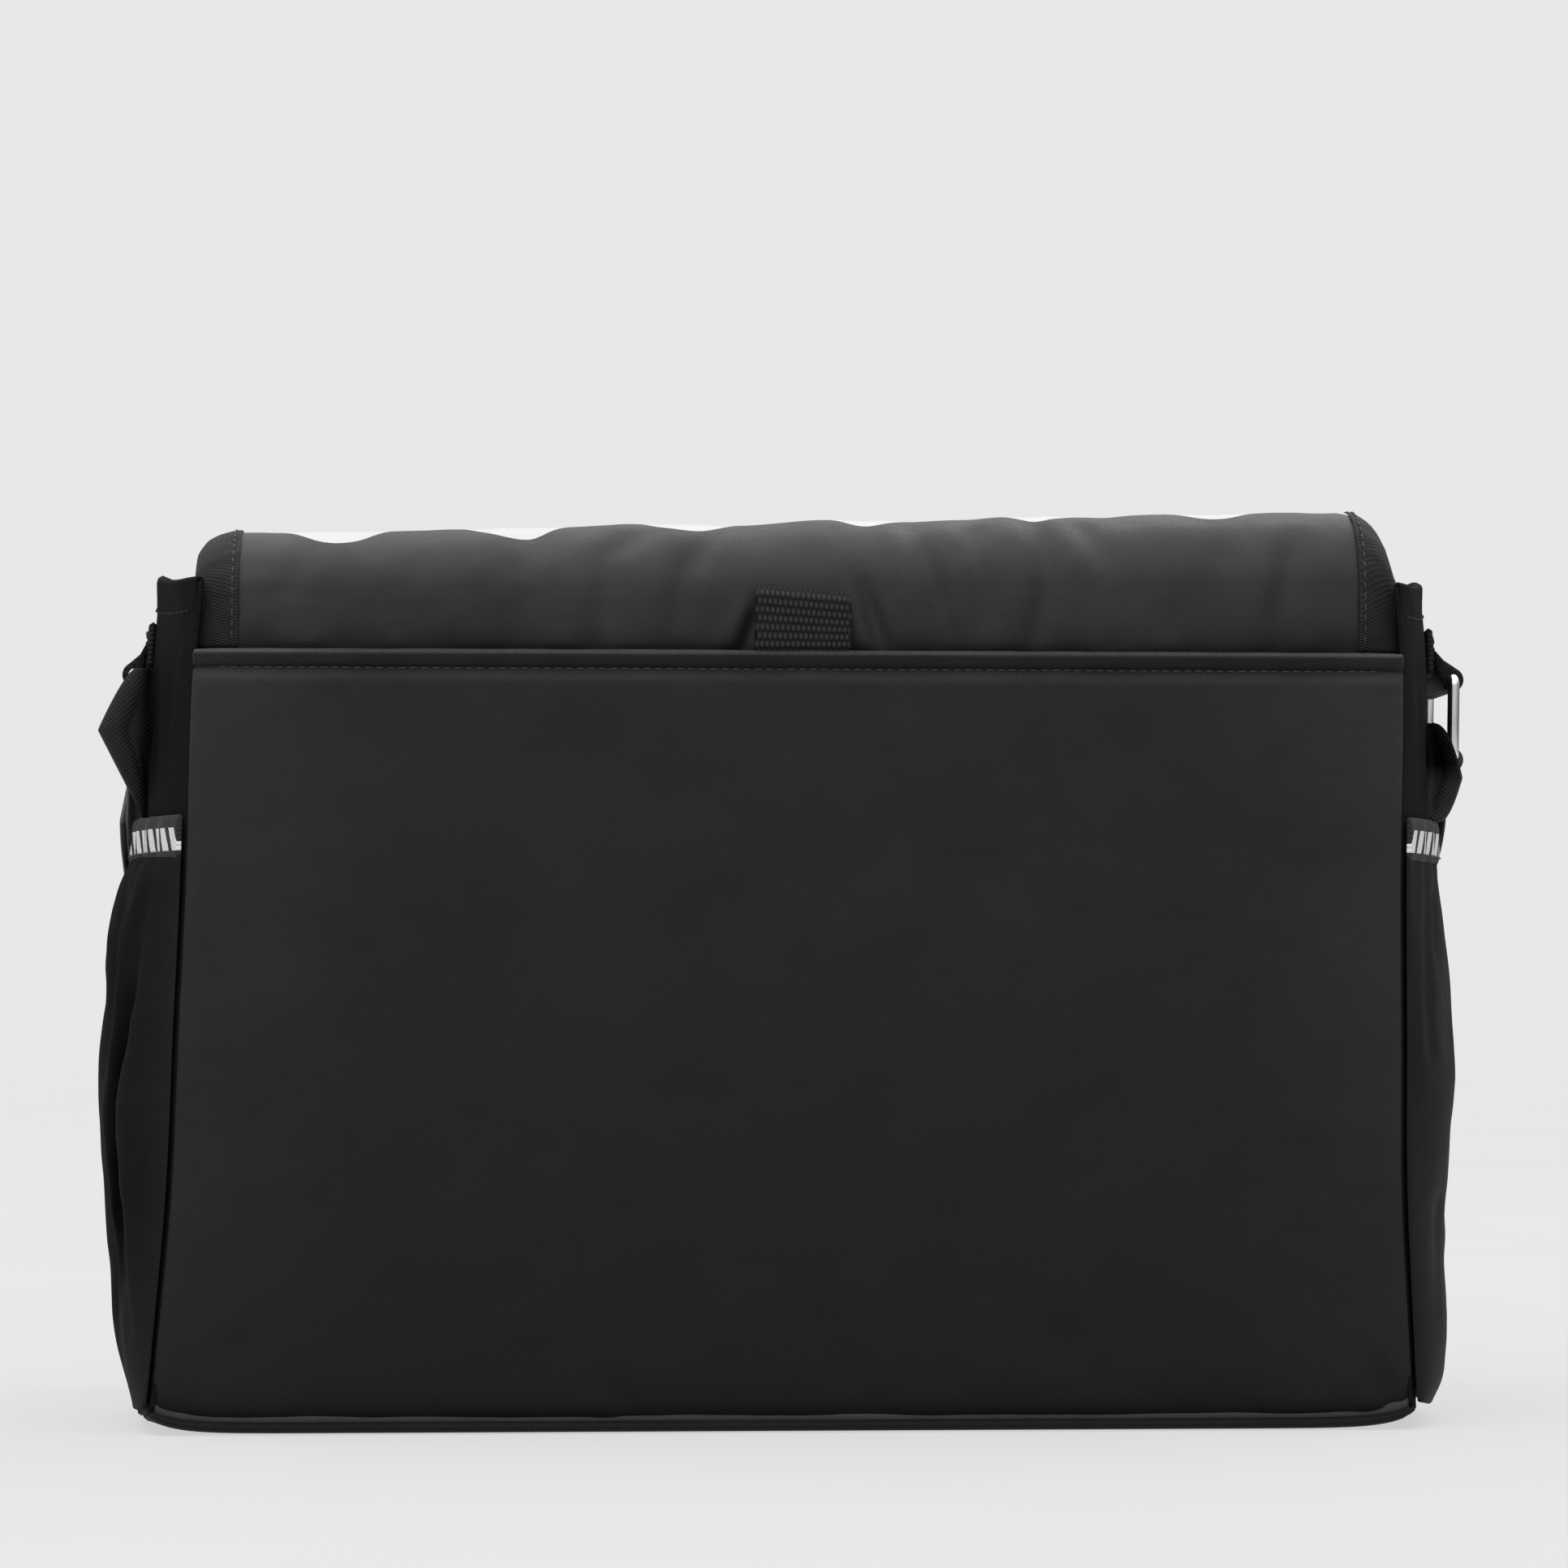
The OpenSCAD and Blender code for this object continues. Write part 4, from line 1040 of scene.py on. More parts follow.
POCKET_FOLDS = {
    1: [
        ([(0.048, 0.172), (0.039, 0.135), (0.032, 0.095), (0.034, 0.055), (0.044, 0.024)], 0.0055, 0.0090),
        ([(0.030, 0.178), (0.022, 0.140), (0.018, 0.110)], 0.0050, 0.0030),
        ([(0.054, 0.182), (0.043, 0.162)], 0.0035, 0.0018),
        ([(0.012, 0.090), (0.022, 0.050), (0.030, 0.025)], 0.0065, 0.0030),
        ([(-0.028, 0.176), (-0.034, 0.120), (-0.040, 0.050)], 0.0060, 0.0042),
        ([(-0.006, 0.170), (-0.008, 0.100), (-0.014, 0.060)], 0.0055, 0.0022),
    ],
    -1: [
        ([(0.049, 0.170), (0.052, 0.140), (0.050, 0.115)], 0.0040, 0.0024),
        ([(0.036, 0.178), (0.040, 0.150)], 0.0040, 0.0020),
        ([(0.040, 0.080), (0.045, 0.045), (0.050, 0.020)], 0.0060, 0.0020),
        ([(-0.030, 0.176), (-0.034, 0.120), (-0.038, 0.050)], 0.0060, 0.0040),
        ([(0.006, 0.160), (0.010, 0.100)], 0.0070, 0.0018),
    ],
}


POCKET_W = 2 * POCKET_CHORD
POCKET_RISE = ELASTIC_LOW - BASE_T - 0.002
POCKET_STEP = 0.003


def pocket_heights(side):
    return settle(
        POCKET_W, POCKET_RISE, POCKET_STEP, lambda share: 0.03 + 0.13 * share**1.5, lambda share: 0.015 + 0 * share,
        seed=210 + side, pressure=0.0, bending=0.05,
    )


POCKET_SETTLED = {side: pocket_heights(side) for _, side in SIDES}


def mouth_draw(side, z):
    """How far each pocket's elastic is drawn in; the right pocket swells at once below it."""
    if side < 0:
        return 0.0027 * smooth((z - 0.140) / 0.045)
    return 0.0022 * smooth((z - 0.175) / 0.012)


def side_pocket_x(side, z, y):
    """Outer face of a side pocket: full in the middle, gathered under its elastic, with upright folds."""
    room = pocket_room(z, y)
    share = room / 0.009
    gather_fade = np.exp(-np.maximum(ELASTIC_LOW - z, 0) / 0.018)
    gathers = 0.0011 * np.sin(2 * np.pi * y / 0.0095 + 3 * field(y, z, 0.03, 71 + side)) * gather_fade
    waves = 0.0012 * field(y, z * 0.4, 0.016, 74 + side)
    folds = 0 * y
    for route, width, depth in POCKET_FOLDS[side]:
        folds = folds + crease(y, z, route, width, depth, ridge=0.35)
    settled = np.clip(sample(POCKET_SETTLED[side], POCKET_W, POCKET_RISE, y, z - BASE_T - 0.002), -0.005, 0.005)
    moved = (waves * 0.4 + gathers * 0.6 + settled) * smooth(share * 2) + folds * smooth(share * 1.5)
    round_share = np.sqrt(np.maximum(0, 1 - (y / POCKET_CHORD) ** 2))
    foot = (0.0062 if side < 0 else 0.0012) * np.exp(-(((z - 0.020) / 0.026) ** 2))
    foot = foot + (0.0022 if side < 0 else 0.0) * np.exp(-(((z - 0.012) / 0.008) ** 2))
    waist = (0.0010 if side < 0 else -0.0012) * np.exp(-(((z - 0.108) / 0.038) ** 2))
    shoulder = (0.0 if side < 0 else 0.0036) * np.exp(-(((z - 0.161) / 0.018) ** 2)) * smooth((y + 0.012) / 0.020)
    moved = moved + (foot - waist + shoulder - mouth_draw(side, z)) * round_share
    off = np.maximum(room + moved, 0.0004)
    return wall_x(z, y) + off + SHELL_T


def elastic_x(side, z, y):
    ribs = 0.0006 * np.sin(2 * np.pi * y / 0.0095 + 3 * field(y, 0 * z + ELASTIC_LOW, 0.03, 71 + side))
    room = pocket_room(z, y)
    return wall_x(z, y) + room * (1 - mouth_draw(side, z) / 0.0045) + SHELL_T + ribs * smooth(room / 0.004)


def make_side_pockets():
    for name, side in SIDES:
        share = np.sin(spread(-1, 1, 121) * math.pi / 2 * 0.85) / math.sin(math.pi / 2 * 0.85)
        y, z = np.meshgrid(share * POCKET_CHORD, spread(BASE_T + 0.002, ELASTIC_LOW + 0.001, 120))
        x = side_pocket_x(side, z, y)
        piece = slab(
            f"side_pocket_cloth_{name}", points(side * x, y, z), points(side * (x - 0.0012), y, z),
            [CREASED_NYLON if side > 0 else SHADED_POCKET_NYLON, LINING], uv=np.stack([y, z], -1),
        )
        place(piece, "bag", "shell_nylon", f"side_pocket_{name}")
        y, z = np.meshgrid(share * POCKET_CHORD, spread(ELASTIC_LOW - 0.0005, ELASTIC_TOP, 15))
        x = elastic_x(side, z, y)
        roll = 0.0006 * np.exp(-np.minimum(z - z.min(), z.max() - z) / 0.0010)
        piece = slab(
            f"elastic_tape_{name}", points(side * (x + 0.0008 - roll), y, z), points(side * (x - 0.0008), y, z),
            [ELASTIC], uv=np.stack([y * 1.15, z - z.min()], -1),
        )
        place(piece, "bag", "elastic", f"pocket_elastic_{name}")
        along = spread(-0.052, 0.052, 120)
        level = np.full_like(along, ELASTIC_LOW + 0.0014)
        path = points(side * (elastic_x(side, level, along) + 0.0010), along, level)
        place(stitches(f"elastic_stitches_{name}", path, (side, 0, 0), THREAD, pitch=0.003, length=0.0022),
              "bag", "binding")


# ---- Flap ----

FLAP_HALF_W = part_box("flap_front_shell")[1].x + 0.002
FLAP_T = 0.003
ROOT_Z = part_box("flap_root")[0].z
ROOT_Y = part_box("flap_root")[1].y - FLAP_T / 2
TOP_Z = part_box("flap_top_shell")[1].z - FLAP_T / 2
BACK_BEND_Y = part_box("flap_top_shell")[1].y
FRONT_BEND_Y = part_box("flap_top_shell")[0].y
FRONT_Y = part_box("flap_front_shell")[0].y + FLAP_T / 2
END_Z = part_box("flap_front_shell")[0].z
BACK_R = ROOT_Y - BACK_BEND_Y
FRONT_R = FRONT_BEND_Y - FRONT_Y
CORNER_R = 0.028
RISE = TOP_Z - BACK_R - ROOT_Z
S_BACK_TOP = RISE + BACK_R * math.pi / 2
S_FRONT_TOP = S_BACK_TOP + BACK_BEND_Y - FRONT_BEND_Y
S_DROP = S_FRONT_TOP + FRONT_R * math.pi / 2
S_END = S_DROP + TOP_Z - FRONT_R - END_Z
S_SPLIT = (S_BACK_TOP + S_FRONT_TOP) / 2

FLAP_CREASES = [
    ([(0.0142, 0.024), (0.0200, 0.006)], 0.0028, 0.0020),
    ([(-0.0180, 0.033), (-0.0280, 0.006)], 0.0030, 0.0022),
    ([(-0.0345, 0.058), (-0.0400, 0.036), (-0.0500, 0.010)], 0.0042, 0.0017),
    ([(-0.0570, 0.060), (-0.0560, 0.040), (-0.0620, 0.014)], 0.0045, 0.0019),
    ([(-0.0760, 0.056), (-0.0800, 0.032), (-0.0760, 0.008)], 0.0042, 0.0017),
    ([(-0.0900, 0.058), (-0.0980, 0.034)], 0.0045, 0.0014),
    ([(-0.1640, 0.050), (-0.1560, 0.020), (-0.1600, 0.004)], 0.0042, 0.0015),
    ([(0.0250, 0.052), (0.0380, 0.034), (0.0420, 0.012)], 0.0045, 0.0014),
    ([(0.0450, 0.056), (0.0620, 0.040), (0.0660, 0.014)], 0.0050, 0.0014),
    ([(0.0860, 0.056), (0.0900, 0.030)], 0.0055, 0.0012),
    ([(0.1580, 0.050), (0.1680, 0.024)], 0.0050, 0.0012),
]


def flap_profile(s):
    """Centre line of the flap from its sewn end, over the top and down the front, with its normal."""
    s = np.asarray(s, float)
    a = np.clip((s - RISE) / BACK_R, 0, math.pi / 2)
    b = np.clip((s - S_FRONT_TOP) / FRONT_R, 0, math.pi / 2)
    up = np.minimum(s, RISE)
    level = np.clip(s - S_BACK_TOP, 0, S_FRONT_TOP - S_BACK_TOP)
    down = np.maximum(s - S_DROP, 0)
    y = ROOT_Y - BACK_R * (1 - np.cos(a)) - level - FRONT_R * np.sin(b)
    z = ROOT_Z + up + BACK_R * np.sin(a) - FRONT_R * (1 - np.cos(b)) - down
    turn = a + b
    return y, z, np.cos(turn), np.sin(turn)


def crest_lift(x):
    """The top of the flap is lower at one end, waves a little and rounds down at its bound edges."""
    tilt = -0.0012 - 0.0245 * x
    droop = 0.0
    for side, reach, fall in ((1, 0.012, 0.0045), (-1, 0.014, 0.018)):
        share = np.clip(1 - (FLAP_HALF_W - side * x) / reach, 0, 1)
        droop = droop + fall * (1 - np.sqrt(1 - share**2))
    return tilt - droop + 0.0005 * field(x, 0 * x, 0.03, 81)


FLAP_STEP = 0.0052


def flap_heights():
    return settle(
        2 * FLAP_HALF_W, S_END, FLAP_STEP, lambda share: 0.016 + 0.012 * (1 - share) ** 2,
        lambda share: 0.008 + 0 * share, seed=220, pressure=0.2, bending=0.25,
    )


FLAP_SETTLED = flap_heights()


def flap_wrinkles(x, s):
    edge = smooth((FLAP_HALF_W - np.abs(x)) / 0.018)
    back = 1 - smooth((s - S_BACK_TOP) / 0.03)
    gathers = 0.0007 * field(x, s * 0.4, 0.008, 82) * np.exp(-s / 0.012)
    puff = 0.0012 * np.sin(np.pi * np.clip(s / 0.05, 0, 1)) * back
    fine = 0.0008 * field(x, s * 0.6, 0.022, 83) + 0.0003 * field(x, s, 0.009, 84)
    wide = 0.0008 * (0.5 + 0.5 * field(x, s, 0.07, 85))
    settled = np.clip(sample(FLAP_SETTLED, 2 * FLAP_HALF_W, S_END, x, s) + 0.0012, -0.0010, 0.0060)
    crest = np.exp(-(((s - S_BACK_TOP - 0.010) / 0.030) ** 2))
    settled = settled * (1 - 0.88 * crest)
    tucked = 0.0016 * np.exp(-np.maximum(s - 0.006, 0) / 0.004)
    lift = gathers + puff + fine * (0.2 + 0.8 * back) + wide + settled - tucked
    for route, width, depth in FLAP_CREASES:
        lift = lift + crease(x, s, route, width, depth)
    return lift * (0.25 + 0.75 * edge)


def flap_point(x, s, offset):
    """A point of the flap: across, along from the sewn end, and off its centre line."""
    y, z, ny, nz = flap_profile(s)
    off = offset + flap_wrinkles(x, s)
    high = smooth((z - 0.258) / (TOP_Z - 0.258))
    return points(x, y + ny * off, z + nz * off + high * crest_lift(x))


def flap_half_width(s):
    """The flap narrows round its two lower corners."""
    into = np.clip(CORNER_R - (S_END - s), 0, CORNER_R)
    return FLAP_HALF_W - CORNER_R + np.sqrt(np.maximum(CORNER_R**2 - into**2, 0))


def flap_piece(name, rows, across, body, slot, nodes, flat_rows):
    u, s = np.meshgrid(spread(-1, 1, across), rows)
    x = u * flap_half_width(s)
    outer = flap_point(x, s, FLAP_T / 2)
    inner = flap_point(x, s, -FLAP_T / 2)
    piece = slab(name, outer, inner, [SATIN, LINING], uv=np.stack([x, s], -1), flat_rows=flat_rows)
    place(piece, body, slot, *nodes)


def flap_outline(back):
    """Edge of one half of the flap in its own plane: points (x, s) and the way in."""
    if back:
        s = spread(0.009, S_SPLIT, 90)
        return [(np.stack([side * FLAP_HALF_W + 0 * s, s], -1), np.stack([-side + 0 * s, 0 * s], -1)) for side in (-1, 1)]
    drop = spread(S_SPLIT, S_END - CORNER_R, 150)
    turn = spread(0, math.pi / 2, 22)
    bottom = spread(FLAP_HALF_W - CORNER_R, -FLAP_HALF_W + CORNER_R, 170)
    corner = FLAP_HALF_W - CORNER_R
    low = S_END - CORNER_R
    edge = [(FLAP_HALF_W, s) for s in drop] + [
        (corner + CORNER_R * math.cos(t), low + CORNER_R * math.sin(t)) for t in turn[1:-1]]
    way = [(-1, 0)] * len(drop) + [(-math.cos(t), -math.sin(t)) for t in turn[1:-1]]
    edge += [(x, S_END) for x in bottom]
    way += [(0, -1)] * len(bottom)
    edge += [(-corner - CORNER_R * math.cos(t), low + CORNER_R * math.sin(t)) for t in turn[-2:0:-1]]
    way += [(math.cos(t), -math.sin(t)) for t in turn[-2:0:-1]]
    edge += [(-FLAP_HALF_W, s) for s in drop[::-1]]
    way += [(1, 0)] * len(drop)
    return [(np.array(edge, float), np.array(way, float))]


def flap_binding(name, edge, way, body, nodes, seed):
    """Grosgrain folded over the flap's edge, and its two rows of stitches."""
    half = FLAP_T / 2
    reach = np.concatenate([spread(TAPE_W, 0.0015, 7), [0.0004, -0.0010, -0.0017, -0.0010, 0.0004],
                            spread(0.0015, TAPE_W, 7)])
    lift = np.concatenate([np.ones(7), [0.95, 0.6, 0, -0.6, -0.95], -np.ones(7)])
    run = spread(0, len(edge) * 0.0025, len(edge))
    wave = 0.00022 * field(run[:, None], reach[None, :], 0.005, seed)
    at = edge[:, None] + way[:, None] * reach[None, :, None]
    offset = lift[None, :] * (half + TAPE_T / 2) + wave * lift[None, :]
    middle = flap_point(at[..., 0], at[..., 1], offset)
    place(cloth_slab(name, middle, TAPE_T, [BINDING]), body, "binding", *nodes)
    for row, side in (("outer", 1), ("inner", -1)):
        at = edge + way * (TAPE_W - 0.0018)
        height = side * (half + TAPE_T + 0.0002)
        path = flap_point(at[:, 0], at[:, 1], height + 0 * at[:, 0])
        up = path - flap_point(at[:, 0], at[:, 1], 0 * at[:, 0])
        place(stitches(f"{name}_stitches_{row}", path, up, THREAD), body, "binding")


def make_flap():
    rows = np.concatenate([spread(0, 0.062, 50), spread(0.064, S_SPLIT, 20)])
    flap_piece("flap_back_half", rows, 261, BACK_FOLD, "flap_nylon", ["flap_root"], [len(rows) - 1])
    ending = S_END - CORNER_R + CORNER_R * np.sin(spread(0, 1, 16) * math.pi / 2)
    rows = np.concatenate([spread(S_SPLIT, S_END - CORNER_R, 90)[:-1], ending])
    nodes = [f"flap_{part}_{layer}" for part in ("top", "front") for layer in ("shell", "wadding", "lining")]
    flap_piece("flap_front_half", rows, 141, FRONT_FOLD, "flap_nylon", nodes, [0])
    for (edge, way), (name, side) in zip(flap_outline(True), SIDES):
        nodes = ["flap_root_binding"] if side > 0 else []
        flap_binding(f"flap_back_binding_{name}", edge, way, BACK_FOLD, nodes, 91 + side)
    for edge, way in flap_outline(False):
        flap_binding("flap_front_edge_binding", edge, way, FRONT_FOLD, ["flap_top_binding", "flap_front_binding"], 95)


# ---- Hanging loop ----

def make_hanging_loop():
    """Coarse webbing folded into a loop, with real relief of one bead to each crossing."""
    low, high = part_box("hanging_loop")
    t = 0.0014
    near = low.y + 0.0012
    far = high.y - 0.0012
    r = (far - near) / 2
    top = high.z - r - 0.0012
    run = top - low.z
    bend = math.pi * r
    total = 2 * run + bend
    s = spread(0, total, 300)
    turn = np.clip((s - run) / r, 0, math.pi)
    back_run = np.minimum(s, run)
    front_run = np.maximum(s - run - bend, 0)
    y = near + r - r * np.cos(turn) * np.ones_like(s)
    z = low.z + back_run + r * np.sin(turn) - front_run
    into_mouth = smooth((HEM_Z + 0.002 - z) / 0.008)
    y = y - np.where(s > run + bend / 2, 1, 0) * into_mouth * (far - near - t * 1.6)
    ny = -np.cos(turn)
    nz = np.sin(turn)
    half = high.x
    u = spread(-half, half, 130)
    x, sg = np.meshgrid(u, s)
    phase = np.floor(sg / BEAD_ALONG) % 2 * BEAD_ACROSS / 2
    bead = np.abs(np.sin(np.pi * (x + phase) / BEAD_ACROSS)) ** 0.7 * np.abs(np.sin(np.pi * sg / BEAD_ALONG)) ** 0.7
    bead = bead * smooth((half - np.abs(x)) / 0.0008)
    tip = 0.0012 * x / half * smooth((z - HEM_Z) / 0.015)[:, None]
    yy = y[:, None] + ny[:, None] * (t / 2 + 0.00055 * bead)
    zz = z[:, None] + nz[:, None] * (t / 2 + 0.00055 * bead) + tip
    outer = points(x, yy, zz)
    inner = points(x, y[:, None] - ny[:, None] * t / 2, z[:, None] - nz[:, None] * t / 2 + tip)
    piece = slab("hanging_loop_webbing", outer, inner, [CORD_WEBBING], uv=np.stack([x, sg], -1))
    place(piece, "bag", "webbing", "hanging_loop")


# ---- Strap ----

STRAP_W = 0.038
STRAP_T = 0.002
RING_OUT = {1: 0.2188, -1: 0.2212}
STRAP_HALF = [
    [[0.2190, 0, 0.216], [0, 1, 0]],
    [[0.2194, 0, 0.207], [0, 1, 0]],
    [[0.2196, -0.013, 0.197], [0, 0.83, -0.56]],
    [[0.2192, -0.026, 0.189], [0, 0.6, -0.8]],
    [[0.2172, -0.043, 0.181], [0, 0.5, -0.86]],
    [[0.2125, -0.060, 0.172], [0, 0.53, -0.85]],
    [[0.207, -0.076, 0.160], [0, 0.66, -0.75]],
    [[0.2046, -0.088, 0.144], [0, 0.83, -0.56]],
    [[0.204, -0.097, 0.124], [0, 0.932, -0.362]],
    [[0.204, -0.108, 0.096], [0, 0.932, -0.362]],
    [[0.204, -0.119, 0.068], [0, 0.932, -0.362]],
    [[0.204, -0.128, 0.044], [0, 0.93, -0.36]],
    [[0.200, -0.134, 0.027], [0, 0.94, -0.34]],
    [[0.190, -0.137, 0.0155], [0, 0.96, -0.28]],
    [[0.174, -0.139, 0.0076], [0, 0.98, -0.2]],
    [[0.153, -0.140, 0.0032], [0, 0.995, -0.1]],
    [[0.124, -0.141, 0.0011], [0, 1, 0]],
    [[0.070, -0.142, 0.0010], [0, 1, 0]],
    [[0, -0.142, 0.0010], [0, 1, 0]],
]
TAIL_KEYS = 11


def strap_route(steps):
    """Centres, directions across and normals along the whole strap, from the right ring to the left one."""
    keys = STRAP_HALF + [
        [[-c[0], c[1], c[2]], [-a[0], a[1], a[2]]] for c, a in STRAP_HALF[-2::-1]
    ]
    centre = np.array([k[0] for k in keys], float)
    across = np.array([k[1] for k in keys], float)
    last = len(keys) - 1
    rows = []
    for i in range(last):
        p = [centre[min(max(i + k, 0), last)] for k in (-1, 0, 1, 2)]
        for t in np.arange(steps) / steps:
            point = 0.5 * (
                2 * p[1] + (p[2] - p[0]) * t + (2 * p[0] - 5 * p[1] + 4 * p[2] - p[3]) * t**2
                + (3 * p[1] - 3 * p[2] + p[3] - p[0]) * t**3
            )
            rows.append((point, (1 - t) * across[i] + t * across[i + 1]))
    rows.append((centre[last], across[last]))
    middle = np.array([r[0] for r in rows])
    along = unit(np.gradient(middle, axis=0))
    normal = unit(np.cross(np.array([r[1] for r in rows]), along))
    return middle, unit(np.cross(along, normal)), normal


def webbing(name, middle, across, normal, low, high, material):
    """A woven band with rounded selvedges along a route, between two distances along its normal."""
    half = STRAP_W / 2
    share = spread(-1, 1, 21)
    edge = 1 - np.abs(share) ** 14
    top = high - (high - low) * 0.30 * (1 - edge)
    bottom = low + (high - low) * 0.30 * (1 - edge)
    outer = middle[:, None] + across[:, None] * share[None, :, None] * half + normal[:, None] * top[None, :, None]
    inner = middle[:, None] + across[:, None] * share[None, :, None] * half + normal[:, None] * bottom[None, :, None]
    return slab(name, outer, inner, [material])


def wrap_grid(side, z, inner, out):
    """Webbing once round a bar of a ring."""
    turn = spread(0, 2 * math.pi, 49)[:-1]
    y = spread(-STRAP_W / 2, STRAP_W / 2, 15)
    rings = []
    for yy, r in ((y[0], inner), *((v, out) for v in y), (y[-1], inner)):
        rings.append(points(side * (RING_OUT[side] + r * np.cos(turn)), yy, z + r * np.sin(turn)))
    return np.array(rings)


def make_strap():
    steps = 8
    middle, across, normal = strap_route(steps)
    ripple = 0.0003 * field(np.arange(len(middle)) * 0.003, 0 * middle[:, 0], 0.03, 101)
    moved = middle + normal * np.maximum(ripple, 0)[:, None]
    strap = webbing("strap_webbing", moved, across, normal, -STRAP_T / 2, STRAP_T / 2, WEBBING)
    place(strap, "strap_loop", "webbing", "strap")
    part = slice(steps, TAIL_KEYS * steps + 1)
    gap = 0.0001
    tail = webbing(
        "strap_tail_webbing", middle[part], across[part], normal[part], -1.5 * STRAP_T - gap,
        -STRAP_T / 2 - gap, WEBBING,
    )
    place(tail, "strap_loop", "webbing", "strap_tail")
    wire = 0.002
    for name, side in SIDES:
        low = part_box(f"ring_{name}")[0].z + wire
        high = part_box(f"ring_{name}")[1].z - wire
        wrap = loft(f"strap_wrap_{name}", wrap_grid(side, low, wire + 0.0003, wire + 0.0022), WEBBING)
        place(wrap, "strap_loop", "webbing")
        wrap = loft(f"tab_loop_webbing_{name}", tab_loop_rings(side, high, wire), TAB_WEBBING)
        place(wrap, "strap_loop", "webbing", f"tab_loop_{name}")


def fold_edge(t, start, tip, end, tip_at, rise, fall):
    """How far out a fold reaches, from its start to its tip and back in."""
    up = start + (tip - start) * np.clip(t / tip_at, 0, 1) ** rise
    down = end + (tip - end) * np.clip((1 - t) / (1 - tip_at), 0, 1) ** fall
    return np.where(t < tip_at, up, down)


def make_strap_folds():
    """The strap bunched sideways at its rings. The right one hides its ring from behind."""
    folds = {
        "right": (1, 0.2475, (0.2186, 0.2298, 0.2142, 0.40, 0.75, 1.0)),
        "left": (-1, 0.2310, (0.2140, 0.2246, 0.2170, 0.55, 0.45, 0.5)),
    }
    for name, (side, top, edge) in folds.items():
        t, v = np.meshgrid(spread(0, 1, 61), spread(0, 1, 41), indexing="ij")
        z = top + (0.1990 - top) * t
        outer_x = fold_edge(t, *edge)
        x = 0.2108 + (outer_x - 0.2108) * v
        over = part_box("ring_right")[1].y + 0.0030
        bow = np.sqrt(np.maximum(0, 1 - v**9))
        valley = crease(v, t, [(0.30, 0.05), (0.42, 0.45), (0.30, 0.95)], 0.14, 0.0026, ridge=0.5)
        y = over - 0.010 * (1 - bow) - 0.002 * t + np.maximum(valley, -0.0018) + 0.0003 * field(x, z, 0.006, 121 + side)
        middle = points(side * x, y, z)
        piece = cloth_slab(f"strap_fold_{name}", middle, 0.0014, [FOLD_WEBBING[side]], uv=np.stack([x, z], -1))
        place(piece, "strap_loop", "webbing")


def tab_loop_rings(side, z, wire):
    """Folded tab round the ring's upper bar, drawn down flat towards the side wall."""
    ring_x = RING_OUT[side]
    root = float(wall_x(0.252, 0.0)) + 0.0012
    out = wire + 0.0021
    turn = spread(-math.pi / 2, math.pi / 3, 17)
    outline = [(root, z + 0.0030)]
    outline += [(ring_x - 0.0022, z - 0.0030)]
    outline += [(ring_x + out * math.cos(t), z + out * math.sin(t)) for t in turn]
    outline += [((ring_x + root) / 2, z + out + 0.0026), (root, z + 0.0098)]
    mid = ((outline[0][0] + outline[-1][0]) / 2, (outline[0][1] + outline[-1][1]) / 2)
    outline.append(mid)
    shape = np.array(outline)
    rings = []
    for share, size in ((-1, 0.55), (-0.985, 0.9), (-0.95, 1), (-0.5, 1), (0, 1), (0.5, 1), (0.95, 1), (0.985, 0.9), (1, 0.55)):
        centre = np.array([ring_x - 0.001, z])
        section = centre + (shape - centre) * size
        rings.append(points(side * section[:, 0], share * STRAP_W / 2, section[:, 1]))
    return np.array(rings)


def make_tab_patches():
    for name, side in SIDES:
        low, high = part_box(f"tab_patch_{name}")
        y, z = np.meshgrid(spread(low.y, high.y, 41), spread(low.z, high.z, 17))
        wall = wall_x(z, y)
        rise = 0.0003 * field(y, z, 0.006, 105 + side)
        outer = points(side * (wall + 0.0021 + rise), y, z)
        inner = points(side * (wall - 0.0004), y, z)
        place(slab(f"tab_patch_webbing_{name}", outer, inner, [TAB_WEBBING]), "bag", "webbing", f"tab_patch_{name}")
        inset = 0.0022
        loop = [(low.y + inset, low.z + inset), (high.y - inset, low.z + inset), (high.y - inset, high.z - inset),
                (low.y + inset, high.z - inset), (low.y + inset, low.z + inset)]
        route = np.concatenate([np.linspace(loop[k], loop[k + 1], 20) for k in range(4)])
        path = points(side * (wall_x(route[:, 1], route[:, 0]) + 0.0024), route[:, 0], route[:, 1])
        place(stitches(f"tab_stitches_{name}", path, (side, 0, 0), THREAD, pitch=0.0028, length=0.0021), "bag", "binding")


def rounded_rectangle(half_y, low, high, r, steps=9):
    """Points round a rectangle in the YZ plane with round corners."""
    out = []
    for sy, sz, start in ((1, 1, 0), (-1, 1, 90), (-1, -1, 180), (1, -1, 270)):
        cy = sy * (half_y - r)
        cz = (high if sz > 0 else low) - sz * r
        for a in np.radians(spread(start, start + 90, steps)):
            out.append((cy + r * math.cos(a), cz + r * math.sin(a)))
    return np.array(out)


def make_rings():
    wire = 0.002
    for name, side in SIDES:
        low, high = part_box(f"ring_{name}")
        line = rounded_rectangle(high.y - wire, low.z + wire, high.z - wire, 0.0025)
        path = points(np.full(len(line), side * RING_OUT[side]), line[:, 0], line[:, 1])
        piece = tube(f"ring_wire_{name}", path, wire, CHROME, closed=True, sides=20, across=(1.0, 0.0, 0.0))
        place(piece, "strap_loop", "ring_steel", f"ring_{name}")


# ---- Zip inside the back wall ----


